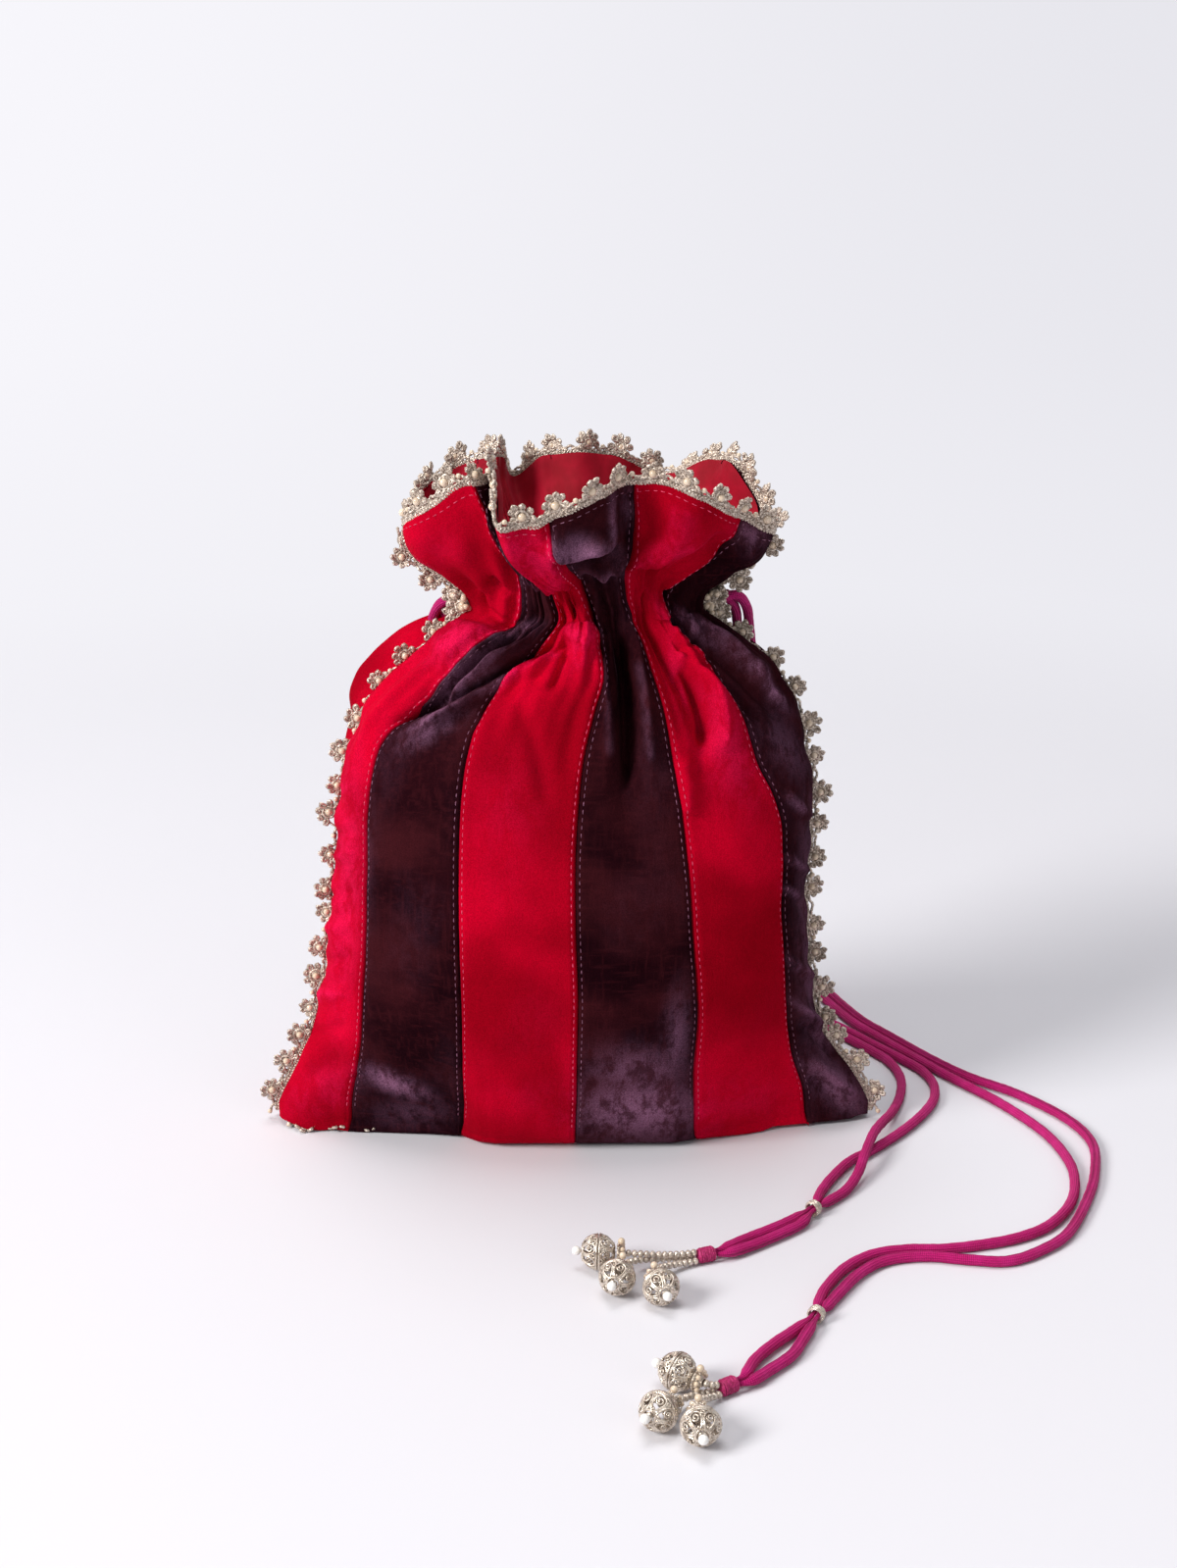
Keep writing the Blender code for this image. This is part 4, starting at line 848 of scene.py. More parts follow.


# The colour after the mottled share is the pile's paler one, for worn pile and for painted sheen and
# highlights.
MATERIALS = {
    "red": pile_cloth(
        "red_pile", (0.28, 0.0002, 0.0075), (0.56, 0.0004, 0.0190), (0.34, 0.0002, 0.0100), 0.35,
        (0.86, 0.010, 0.095), (1.0, 0.03, 0.19), 0.32, 0.16,
    ),
    "plum": pile_cloth(
        "plum_pile", (0.0098, 0.0014, 0.0032), (0.0180, 0.0024, 0.0046), (0.050, 0.0074, 0.0105), 0.75,
        (0.250, 0.108, 0.190), (0.80, 0.40, 0.56), 0.15, 0.10,
    ),
    "lining": lining_cloth(),
    "cord": cord_braid(),
    "lace": thread("lace_thread", (0.27, 0.20, 0.155), (0.88, 0.765, 0.655), 0.48, 0.40),
    "metal": antique_metal(),
    "seed": thread("seed_beads", (0.46, 0.38, 0.31), (0.88, 0.79, 0.69), 0.62, 0.30),
    "cream": pearl_finish("cream_pearl", (0.68, 0.53, 0.38), (0.78, 0.63, 0.48)),
    "white": pearl_finish("white_pearl", (0.88, 0.85, 0.81), (0.92, 0.90, 0.86)),
    "whipping": thread("whipping_thread", (0.30, 0.004, 0.07), (0.55, 0.02, 0.17), 0.0, 0.62),
    "stitch_red": thread("stitch_red", (0.50, 0.012, 0.06), (0.80, 0.09, 0.20), 0.0, 0.6),
    "stitch_plum": thread("stitch_plum", (0.11, 0.03, 0.06), (0.30, 0.11, 0.19), 0.0, 0.6),
    "floor": floor_finish(),
}


def smooth_route(points, per_span=SPAN_STEPS):
    """A smooth curve through the route's points."""
    points = np.asarray(points, float)
    padded = np.concatenate([2 * points[:1] - points[1:2], points, 2 * points[-1:] - points[-2:-1]])
    out = []
    for i in range(1, len(padded) - 2):
        a, b, c, d = padded[i - 1 : i + 3]
        square, cube = 2 * a - 5 * b + 4 * c - d, 3 * b - a - 3 * c + d
        for t in np.arange(per_span) / per_span:
            out.append(0.5 * (2 * b + (c - a) * t + square * t**2 + cube * t**3))
    out.append(points[-1])
    return np.array(out)


def keeper_radius():
    return PINCHED_DIAMETER + 2 * GAP + KEEPER_WALL


def keeper_height():
    return keeper_radius() + GAP / 2


def keeper_pass(keeper, aim, sign):
    aim = np.array((*aim, 0.0)) / math.hypot(*aim)
    across = np.array((-aim[1], aim[0], 0.0)) * sign
    middle = np.array((keeper[0] * MM, keeper[1] * MM, keeper_height()))
    beside = across * (PINCHED_DIAMETER + GAP) / 2
    return [middle + beside + aim * along for along in (-KEEPER_LENGTH, 0.0, KEEPER_LENGTH)]


def whipping_frame(start, aim):
    aim = Vector((*aim, 0.0)).normalized()
    return Vector((start[0] * MM, start[1] * MM, WHIPPING_DIAMETER / 2 + GAP / 2)), aim


def strand(cord, apart, floor_points, end_points, sign):
    """A free strand's route: down from the neck, over the floor, through the keeper and into the whipping."""
    points = [np.array(point) * MM + np.array((apart * sign, 0.0, 0.0)) for point in cord.drop]
    for point in floor_points:
        height = point[2] * MM if len(point) > 2 else CORD_DIAMETER / 2 + GAP / 4
        points.append(np.array((point[0] * MM, point[1] * MM, height)))
    points += keeper_pass(cord.keeper, cord.keeper_aim, sign)
    for x, y in end_points:
        points.append(np.array((x * MM, y * MM, CORD_DIAMETER / 2 + GAP)))
    start, aim = whipping_frame(cord.whipping, cord.whipping_aim)
    across = Vector((-aim.y, aim.x, 0.0)) * sign
    end = start + across * (PINCHED_DIAMETER / 2 + GAP) - aim * GAP
    points.append(np.array(end - aim * WHIPPED_END_LENGTH + across * WHIPPED_END_SPREAD))
    points.append(np.array(end))
    return points


def channel_loop(height, exit_side):
    """The cord's turn round the neck, from its front exit to its back one."""
    neck = ROWS[NECK_ROW]
    half_width = neck.half_width - LOOP_SIDE_INSET
    half_depth = NECK_HALF_DEPTH - LOOP_DEPTH_INSET - CLOTH
    angles = np.radians((-36, -58, -84, -112, -142, 180, 142, 112, 84, 62, 44))
    depths = np.sign(angles) * np.abs(np.sin(angles)) ** FULLNESS * half_depth
    return [
        np.array((neck.shift + exit_side * half_width * math.cos(angle), depth, height))
        for angle, depth in zip(angles, depths)
    ]


def cord_widths(points, keeper, whipping):
    out = np.ones(len(points))
    pinched = PINCHED_DIAMETER / CORD_DIAMETER
    for spot, reach in ((keeper, PINCH_HALF_LENGTH), (whipping, WHIPPED_LENGTH)):
        away = np.hypot(points[:, 0] - spot[0] * MM, points[:, 1] - spot[1] * MM)
        out = np.minimum(out, pinched + (1 - pinched) * ramp(reach, reach + PINCH_TAPER, away))
    return out


def cord_tube(name, line, widths):
    """A braided tube of slightly uneven thickness. Its points carry their turn and length."""
    sides = 14
    lengths = lengths_along(line)
    swell = 1 + 0.018 * np.sin(lengths * 900.0) + 0.012 * np.sin(lengths * 2100.0 + 1.0)
    batch = Batch("turn", "length")
    add_tube(
        batch, line, CORD_DIAMETER / 2 * widths * swell, sides,
        turn=np.tile(full_turn(sides), len(line)), length=np.repeat(lengths, sides),
    )
    return batch.make(name, MATERIALS["cord"])


def add_cords():
    """Each drawcord as its two free strands and its turn inside the channel."""
    apart = (CORD_DIAMETER + 2 * GAP) / 2
    made = {}
    for name, cord in DRAWCORDS.items():
        height = NECK_HEIGHT + cord.side * apart
        outer = strand(cord, apart, cord.outer, cord.outer_end, cord.side)
        inner = strand(cord, apart, cord.inner, cord.inner_end, -cord.side)
        beside_neck = NECK_SHIFT + cord.side * (NECK_HALF_WIDTH - EXIT_INSET)
        front_exit, back_exit = (np.array((beside_neck, depth, height)) for depth in (EXIT_FRONT, EXIT_BACK))
        turn = channel_loop(height, cord.side)
        whole = smooth_route(np.array([*outer[::-1], front_exit, *turn, back_exit, *inner]))
        leave_outer = len(outer) * SPAN_STEPS
        leave_inner = len(whole) - 1 - len(inner) * SPAN_STEPS
        node = f"drawcord_{name}"
        for label, part in (
            ("outer", whole[: leave_outer + 1][::-1]),
            ("inner", whole[leave_inner:]),
            ("loop", whole[leave_outer : leave_inner + 1]),
        ):
            line = respaced(part, CORD_STEP)
            piece = cord_tube(f"{node}_{label}", line, cord_widths(line, cord.keeper, cord.whipping))
            finish_piece(piece, "magenta_cord", node)
            made[f"{name}_{label}"] = (piece, line)
    return made


# Creases of the front, where the photograph shows them: kind, height in mm, width and reach in its pixels.
# A step is raised on the side that lies below a path that runs to the right.
Crease = namedtuple("Crease", "kind height width reach path")
CREASES = (
    Crease("step", 4.9, 3.0, 60, ((432, 668), (452, 648), (478, 638), (503, 643), (528, 652))),
    Crease("groove", 2.3, 3.5, 0, ((495, 591), (508, 597), (522, 607))),
    Crease("groove", 2.6, 3.5, 0, ((492, 598), (493, 612), (497, 624), (514, 634), (531, 640))),
    Crease("ridge", 4.4, 9.0, 0, ((556, 628), (528, 650), (495, 668), (462, 692), (432, 712))),
    Crease("groove", 5.2, 4.0, 0, ((575, 655), (540, 668), (505, 686), (455, 714), (420, 729), (392, 742))),
    Crease("ridge", 3.4, 5.0, 0, ((575, 665), (540, 680), (505, 698), (458, 725), (425, 739))),
    Crease("groove", 2.4, 6.0, 0, ((560, 684), (528, 700), (498, 720), (470, 748))),
    Crease("step", 6.0, 2.6, 55, ((568, 652), (577, 640), (590, 633), (606, 637), (620, 652))),
    Crease("groove", 3.3, 5.0, 0, ((579, 650), (577, 668), (569, 688), (560, 706))),
    Crease("groove", 1.9, 2.6, 0, ((582, 594), (586, 612), (587, 632))),
    Crease("groove", 2.2, 3.0, 0, ((566, 590), (573, 618), (579, 645))),
    Crease("groove", 2.3, 3.0, 0, ((611, 600), (616, 645), (623, 700), (628, 740))),
    Crease("groove", 2.0, 3.0, 0, ((600, 600), (607, 640), (612, 668))),
    Crease("groove", 7.2, 6.0, 0, ((628, 640), (634, 700), (638, 760), (640, 812))),
    Crease("ridge", 3.5, 8.0, 0, ((619, 655), (621, 710), (622, 785))),
    Crease("ridge", 3.5, 8.0, 0, ((646, 660), (656, 715), (664, 790))),
    Crease("ridge", 4.3, 7.0, 0, ((660, 592), (667, 612), (673, 636))),
    Crease("groove", 4.3, 4.0, 0, ((676, 596), (681, 622), (688, 640), (702, 652))),
    Crease("ridge", 3.2, 5.0, 0, ((684, 640), (696, 646), (706, 656))),
    Crease("step", 3.5, 3.0, 50, ((682, 676), (694, 664), (710, 658), (726, 668))),
    Crease("groove", 6.4, 6.5, 0, ((694, 668), (704, 692), (712, 716), (717, 738), (719, 764))),
    Crease("ridge", 3.6, 9.0, 0, ((712, 668), (729, 700), (738, 735), (742, 770))),
    Crease("ridge", 2.6, 10.0, 0, ((700, 768), (702, 800), (700, 836))),
    Crease("ridge", 6.1, 12.0, 0, ((676, 600), (684, 622), (706, 645), (744, 668), (788, 704))),
    Crease("groove", 4.9, 6.0, 0, ((686, 648), (716, 674), (750, 702), (776, 738))),
    Crease("groove", 2.9, 7.0, 0, ((500, 492), (503, 520), (514, 560), (532, 592))),
    Crease("step", 5.7, 3.0, 70, ((592, 599), (562, 596), (532, 583), (511, 562), (499, 537), (497, 502))),
    Crease("ridge", 5.6, 7.0, 0, ((556, 546), (570, 555), (588, 561), (608, 556), (628, 543))),
    Crease("groove", 6.4, 4.5, 0, ((564, 563), (590, 573), (612, 568), (633, 555))),
    Crease("ridge", 4.4, 6.0, 0, ((598, 578), (614, 582), (630, 576), (640, 560))),
    Crease("groove", 4.2, 6.0, 0, ((590, 590), (614, 595), (638, 588))),
    Crease("ridge", 2.2, 4.0, 0, ((622, 506), (626, 530), (627, 547), (617, 562))),
    Crease("groove", 3.8, 8.0, 0, ((641, 500), (640, 528), (642, 562))),
    Crease("step", 4.1, 3.0, 60, ((641, 584), (648, 560), (663, 549), (677, 537), (676, 518), (681, 500))),
    Crease("groove", 3.8, 8.0, 0, ((642, 590), (668, 586), (702, 572), (734, 556), (748, 538))),
    Crease("groove", 1.2, 3.0, 0, ((356, 1100), (368, 1098), (380, 1104))),
    Crease("ridge", 2.6, 6.0, 0, ((756, 690), (778, 703), (800, 722))),
    Crease("ridge", 1.7, 5.5, 0, ((800, 808), (813, 820), (828, 836))),
    Crease("ridge", 1.6, 5.0, 0, ((800, 871), (812, 880), (826, 891))),
    Crease("ridge", 1.3, 4.5, 0, ((799, 904), (808, 910), (820, 919))),
    Crease("ridge", 1.7, 5.5, 0, ((801, 976), (815, 986), (832, 999))),
    Crease("ridge", 2.8, 5.5, 0, ((807, 1019), (824, 1034), (846, 1056))),
    Crease("ridge", 3.4, 6.0, 0, ((826, 1080), (850, 1098), (876, 1120))),
    Crease("groove", 1.5, 5.0, 0, ((326, 842), (344, 850), (364, 848))),
    Crease("ridge", 1.5, 6.0, 0, ((322, 866), (342, 873), (364, 870))),
    Crease("groove", 1.5, 5.0, 0, ((322, 905), (340, 912), (362, 908))),
    Crease("ridge", 1.5, 6.0, 0, ((316, 938), (338, 946), (362, 942))),
    Crease("groove", 1.6, 5.0, 0, ((314, 972), (336, 980), (360, 975))),
    Crease("ridge", 1.6, 7.0, 0, ((308, 1006), (332, 1014), (358, 1008))),
    Crease("groove", 1.6, 6.0, 0, ((302, 1046), (328, 1052), (356, 1044))),
    Crease("groove", 1.4, 6.0, 0, ((800, 905), (824, 930), (838, 962))),
    Crease("groove", 1.2, 5.0, 0, ((802, 985), (822, 1000), (838, 1030))),
    Crease("groove", 2.6, 5.5, 0, ((822, 1096), (842, 1114), (864, 1134))),
    Crease("groove", 2.2, 5.5, 0, ((812, 1040), (832, 1056), (856, 1080))),
    Crease("groove", 1.4, 9.0, 0, ((346, 860), (352, 930), (347, 1000))),
    Crease("ridge", 1.3, 8.0, 0, ((340, 900), (343, 960), (336, 1030))),
    Crease("groove", 1.5, 10.0, 0, ((300, 1110), (326, 1090), (352, 1085))),
    Crease("groove", 1.6, 9.0, 0, ((706, 800), (716, 760), (728, 730))),
    Crease("groove", 1.7, 9.0, 0, ((520, 700), (545, 760), (560, 830))),
    Crease("groove", 1.4, 10.0, 0, ((590, 690), (583, 740), (576, 800))),
)
# Places of worn pile, and of painted sheen and highlights on the folds' ridges and the sides' turns: middle
# and half sizes in the photograph's pixels, lean in degrees, strength
WEAR_AND_SHEEN_PATCHES = (
    (655, 1132, 62, 28, 0, 1.0), (650, 1092, 46, 22, 0, 0.60), (400, 1104, 34, 9, 22, 1.0),
    (420, 1135, 40, 14, 0, 0.25), (468, 702, 36, 10, -38, 0.75), (440, 745, 34, 10, -30, 0.55),
    (540, 640, 14, 8, -30, 0.55), (835, 1030, 9, 60, -8, 0.60), (852, 1108, 34, 16, 38, 1.0),
    (826, 940, 12, 130, 0, 0.42), (800, 760, 16, 40, -30, 0.35), (690, 1060, 12, 40, 4, 0.55),
    (625, 1140, 30, 14, 0, 0.8), (782, 705, 24, 6, 42, 0.9), (812, 820, 15, 5, 42, 0.75),
    (812, 880, 13, 4, 34, 0.65), (808, 910, 11, 3.5, 30, 0.6), (816, 986, 15, 5, 34, 0.75),
    (822, 1030, 16, 5, 38, 0.8), (440, 731, 30, 5, -30, 0.9), (525, 688, 34, 4.5, -32, 0.75),
    (565, 668, 10, 4, -20, 0.6), (338, 873, 20, 6, 0, 0.7), (336, 946, 22, 6, 0, 0.7),
    (330, 1014, 24, 7, 0, 0.7), (346, 805, 18, 8, -20, 0.6), (592, 556, 30, 9, 10, 0.85),
    (615, 588, 20, 7, 0, 0.60), (625, 530, 4, 28, 0, 0.6), (765, 545, 16, 14, 0, 0.60),
    (640, 520, 8, 26, 0, 0.30), (700, 640, 20, 10, 30, 0.45), (530, 610, 6, 26, 10, 0.35),
    (352, 900, 18, 130, 3, 0.55), (330, 1110, 36, 22, -20, 0.35), (470, 660, 46, 16, -20, 0.45),
    (518, 830, 36, 60, 0, 0.12), (590, 662, 16, 22, 0, 0.45), (740, 760, 26, 60, -20, 0.45),
    (690, 690, 10, 40, -12, 0.40), (450, 560, 26, 22, 0, 0.15), (700, 560, 34, 10, -18, 0.30),
    (560, 560, 36, 12, 20, 0.35), (540, 1120, 50, 20, 0, 0.10), (760, 1120, 40, 22, 0, 0.25),
)
# How far the back swells past the left seam at the rows, in mm
BULGE_REACH = (
    (0.0, 0.0), (9.0, 0.0), (9.7, 3.4), (10.25, 6.6), (10.75, 9.4), (11.3, 11.2), (11.8, 11.4),
    (12.3, 10.2), (12.8, 7.4), (13.3, 3.0), (13.9, 0.0), (19.0, 0.0),
)
# A seam's section: how far from the seam, and how high, in mm. The stitching lies in the dip.
SEAM_SECTION = (
    (0.0, -1.0), (0.35, -0.55), (0.7, -0.12), (1.05, 0.02), (1.4, -0.16), (1.8, 0.06), (2.3, 0.16),
    (3.0, 0.14), (4.0, 0.06), (5.2, 0.0),
)
STITCH_COLUMN = 4
MIDDLE_COLUMNS = 24
NARROW_STRIP = 0.014
DEEPEST_CREASE, HIGHEST_CREASE = -0.0085, 0.0075
Stitch = namedtuple("Stitch", "dash gap radius lift")
SEAM_STITCH = Stitch(0.0016, 0.0011, 0.00016, 0.00013)
HEM_STITCH = Stitch(0.0016, 0.0013, 0.00015, 0.00010)
FIRST_STITCHED_ROW = 4.6
HEM = 0.0028
TUCK = 0.0009
LINING_COLUMNS = 181
LINING_BEHIND = 0.0024


def along_path(spots, path):
    """Each spot's distance from a path, which side of it the spot is on, and how far along it, 0 to 1."""
    path = np.asarray(path, float)
    starts, ends = path[:-1], path[1:]
    spans = np.linalg.norm(ends - starts, axis=1)
    before = np.concatenate([[0.0], np.cumsum(spans)])
    best = np.full(spots.shape[:-1], np.inf)
    side = np.ones(spots.shape[:-1])
    share = np.zeros(spots.shape[:-1])
    for a, b, span, done in zip(starts, ends, spans, before):
        way = (b - a) / span
        away = spots - a
        t = np.clip(away @ way, 0.0, span)
        rest = away - t[..., None] * way
        far = np.linalg.norm(rest, axis=-1)
        near = far < best
        best = np.where(near, far, best)
        cross = way[0] * away[..., 1] - way[1] * away[..., 0]
        side = np.where(near, np.sign(cross), side)
        share = np.where(near, (done + t) / before[-1], share)
    return best, side, share


def crease_heights(spots):
    """How far the creases push the cloth out at spots of the photograph's frame, in metres."""
    out = np.zeros(spots.shape[:-1])
    for crease in CREASES:
        path = smooth_route(np.array([(*point, 0.0) for point in crease.path]), 6)[:, :2]
        far, side, share = along_path(spots, path)
        ends = ramp(0.0, 0.18, share) * (1 - ramp(0.82, 1.0, share))
        if crease.kind == "step":
            signed = far * side
            fade = 1 - ramp(0.15 * crease.reach, crease.reach, signed)
            out += ends * crease.height * MM * (0.5 * (1 + np.tanh(signed / crease.width)) * fade)
        else:
            way = -1.0 if crease.kind == "groove" else 1.0
            out += way * ends * crease.height * MM * np.exp(-((far / crease.width) ** 2))
    return np.clip(out, DEEPEST_CREASE, HIGHEST_CREASE)


# How much of the pile's paler colour the patches paint at spots of the frame: worn pile, and painted sheen
# and highlights.
def wear_and_sheen_places(spots):
    out = np.zeros(spots.shape[:-1])
    for x, y, wide, high, lean, strength in WEAR_AND_SHEEN_PATCHES:
        turn = math.radians(lean)
        right, down = spots[..., 0] - x, spots[..., 1] - y
        along = (right * math.cos(turn) + down * math.sin(turn)) / wide
        across = (-right * math.sin(turn) + down * math.cos(turn)) / high
        out = np.maximum(out, strength * np.exp(-(along**2 + across**2)))
    return out


def waves(a, b, lengths, count, seed, lean=(0.0, math.pi)):
    """A smooth random field from -1 to 1 over two coordinates, whose waves have the given lengths."""
    pick = np.random.default_rng(seed)
    out = np.zeros(np.shape(a))
    for _ in range(count):
        length = pick.uniform(*lengths)
        turn = pick.uniform(*lean)
        way = a * math.cos(turn) + b * math.sin(turn)
        out += np.sin(2 * math.pi * way / length + pick.uniform(0, 2 * math.pi))
    return out / math.sqrt(count / 2) / 2


def gathers(across, row, side):
    """Small pleats that the drawcords pull into the neck, and that open out above and below it."""
    pick = np.random.default_rng(11 if side < 0 else 12)
    out = np.zeros(np.shape(across))
    for pitch, share in ((0.062, 1.0), (0.097, 0.8), (0.141, 0.7)):
        bend = 0.05 * waves(across, row / 9.0, (0.5, 1.4), 8, int(pitch * 1000) + side)
        out += share * np.cos(2 * math.pi * (across + bend) / pitch + pick.uniform(0, 2 * math.pi))
    below = ramp(9.6, 13.4, row)
    above = 1 - ramp(15.0, 18.2, row)
    strength = 0.0008 if side < 0 else 0.0013
    return strength * out * below * above


def wrinkles(point, across, row, side):
    """Soft unevenness of the body, and longer flutes in the ruffle."""
    x, z = point[..., 0] / MM, point[..., 2] / MM
    body = 0.30 * waves(x, z, (26, 60), 12, 21 + side) + 0.16 * waves(x, z, (9, 18), 14, 31 + side)
    drag = 0.45 * waves(x, z, (16, 30), 10, 41 + side, (-0.35, 0.35)) * ramp(7.5, 12.0, row)
    corner = 0.5 * waves(x, z, (12, 24), 10, 51 + side, (0.5, 1.1))
    corner = corner * ramp(0.62, 0.9, np.abs(across)) * (1 - ramp(5, 9, row))
    flutes = 0.5 * waves(x, z, (10, 20), 10, 61 + side, (-0.5, 0.5)) * ramp(15.0, 17.0, row)
    return (body + drag + corner + flutes) * MM * ramp(3.5, 6.0, row)


def side_bulge(across, row, side):
    """The back panel swells past the side seam where the gathers begin."""
    if side < 0:
        return np.zeros((*np.shape(across), 3))
    reach = monotone(*zip(*BULGE_REACH), row) * MM * np.exp(-(((across + 0.84) / 0.11) ** 2))
    edge = 1 - ramp(0.955, 1.0, np.abs(across))
    return (edge * reach)[..., None] * np.array((-1.0, 0.22, 0.0))


def velvet(across, row, side):
    """The outer face of the velvet without its seams, the way it faces, and the share of its paler colour:
    worn pile, and painted sheen and highlights.
    """
    point = skin(across, row, side)
    normal = outward(smooth_skin, across, row, side)
    edge = 1 - ramp(0.93, 1.0, np.abs(across))
    rise = (gathers(across, row, side) + wrinkles(point, across, row, side)) * edge
    point = point + side_bulge(across, row, side)
    nap = np.clip(0.22 * waves(point[..., 0] / MM, point[..., 2] / MM, (30, 90), 10, 71 + side), 0, 1)
    if side < 0:
        lift = monotone(*zip(*LIP_LIFT), across) * MM * ramp(15.2, LIP_ROW, row) ** 0.8
        point = point + lift[..., None] * np.array((0.0, 0.0, 1.0))
        spots = to_photo(point)
        creased = crease_heights(spots)
        rise = rise + creased * edge * ramp(3.5, 5.0, row)
        # The front's paler colour: the listed patches, and a painted highlight along the creases' ridges.
        nap = np.maximum(nap * 0.2, wear_and_sheen_places(spots)) + 0.35 * ramp(0.0014, 0.0055, creased)
    else:
        rubbed = np.clip(waves(across, row / 9.0, (0.2, 0.6), 8, 81), 0, 1)
        nap = 0.4 * nap + 0.4 * ramp(14.0, 17.5, row) * rubbed
    return above_floor(point + normal * rise[..., None]), normal, nap


def strip_width(index, rows, side):
    """How wide a strip is at each row, along the cloth."""
    share = np.linspace(-1 + 2 * index / STRIPS, -1 + 2 * (index + 1) / STRIPS, 13)
    row, across = np.meshgrid(rows, share, indexing="ij")
    return np.linalg.norm(np.diff(skin(across, row, side), axis=1), axis=-1).sum(axis=1)


def panel_rows():
    """Rows close together in the gathers and further apart in the body."""
    fine = np.linspace(0, LIP_ROW, 1600)
    line = skin(np.full(fine.shape, 0.1), fine, 1)
    lengths = lengths_along(line)
    step = np.where(fine < 9.0, 0.0014, 0.0008)
    cost = np.concatenate([[0.0], np.cumsum(np.diff(lengths) / step[1:])])
    return np.interp(np.linspace(0, cost[-1], int(cost[-1]) + 1), cost, fine)


def strip_grid(index, rows, side):
    """A strip's across values by row, and each column's distance from the strip's nearer seam."""
    width = strip_width(index, rows, side)
    squeeze = np.minimum(1.0, width / NARROW_STRIP)
    near = np.array([distance for distance, _ in SEAM_SECTION]) * MM
    left = near[None] * squeeze[:, None] / width[:, None]
    middle = np.linspace(0, 1, MIDDLE_COLUMNS + 2)[1:-1]
    low = left[:, -1:]
    share = np.concatenate([left, low + (1 - 2 * low) * middle, 1 - left[:, ::-1]], axis=1)
    across = -1 + (2 / STRIPS) * (index + share)
    distance = np.minimum(share, 1 - share) * width[:, None] / squeeze[:, None]
    return np.clip(across, -1, 1), distance


def seam_rise(distance):
    at, height = zip(*SEAM_SECTION)
    return np.interp(distance / MM, at, height) * MM


def dashes(batch, line, normal, stitch):
    """Stitches along a line on the cloth, each a short thread that dips in at both ends."""
    lengths = lengths_along(line)
    pitch = stitch.dash + stitch.gap
    count = int(lengths[-1] // pitch)
    at = np.arange(count)[:, None] * pitch + stitch.dash * np.array((0.0, 0.25, 0.5, 0.75, 1.0))
    arch = np.array((-0.6, 0.7, 1.0, 0.7, -0.6)) * stitch.lift
    facing = interpolated(at, lengths, normal)
    place = interpolated(at, lengths, line) + facing * arch[None, :, None]
    sizes = np.array((0.55, 1.0, 1.08, 1.0, 0.55)) * stitch.radius
    for each, face in zip(place, facing):
        add_tube(batch, each, sizes, 5, up=face[0])


def seamed(point, normal, distance, row, side_seams):
    """The cloth dips at its sewn seams and swells beside them, but not at the bag's side seams."""
    rise = seam_rise(distance)
    half = rise.shape[1] // 2
    for at_side, columns in zip(side_seams, (slice(0, half), slice(half, None))):
        if at_side:
            rise[:, columns] = 0.0
    return above_floor(point + normal * (rise * ramp(2.5, 4.5, row))[..., None])


def stitch_strip(batch, rows, point, normal, side_seams):
    """A line of stitches beside each sewn seam, and one along the hem under the lip."""
    sewn = rows > FIRST_STITCHED_ROW
    for at_side, column in zip(side_seams, (STITCH_COLUMN, -1 - STITCH_COLUMN)):
        if not at_side:
            dashes(batch, point[sewn, column], normal[sewn, column], SEAM_STITCH)
    lengths = lengths_along(point[:, point.shape[1] // 2])
    hem = np.argmin(np.abs(lengths[-1] - lengths - HEM))
    dashes(batch, point[hem, 3:-3], normal[hem, 3:-3], HEM_STITCH)


def turned_in(point, normal, nap):
    """A strip with its long edges tucked in and its lip rolled over to the back."""
    tucked = (point[:, :1] - normal[:, :1] * TUCK, point, point[:, -1:] - normal[:, -1:] * TUCK)
    wide = np.concatenate(tucked, axis=1)
    facing = np.pad(normal, ((0, 0), (1, 1), (0, 0)), mode="edge")
    rolled = wide[-1:] - facing[-1:] * 0.0007 + (wide[-1:] - wide[-2:-1]) * 0.2
    turned = wide[-3:-2] - facing[-3:-2] * 0.0010
    wide = above_floor(np.concatenate([wide, rolled, turned], axis=0))
    return wide, np.pad(nap, ((0, 2), (1, 1)), mode="edge")


def add_panels():
    """Twelve strips of velvet with their seams and stitching."""
    rows = panel_rows()
    stitching = {}
    for side, panel in ((-1, "front"), (1, "back")):
        for index in range(STRIPS):
            across, distance = strip_grid(index, rows, side)
            row = np.broadcast_to(rows[:, None], across.shape)
            side_seams = (index == 0, index == STRIPS - 1)
            point, normal, nap = velvet(across, row, side)
            point = seamed(point, normal, distance, row, side_seams)
            colour = "plum" if index % 2 else "red"
            stitch_strip(stitching.setdefault((panel, colour), Batch()), rows, point, normal, side_seams)
            point, nap = turned_in(point, normal, nap)
            strip = Batch("nap")
            strip.add(point, grid_quads(*nap.shape, flip=side > 0), nap=nap.ravel())
            piece = strip.make(f"velvet_{panel}_{index + 1}", MATERIALS[colour])
            finish_piece(piece, f"{colour}_velvet", f"{panel}_strip_{index + 1}")
    for (panel, colour), batch in stitching.items():
        piece = batch.make(f"stitching_{panel}_{colour}", MATERIALS[f"stitch_{colour}"])
        finish_piece(piece, f"{colour}_velvet")


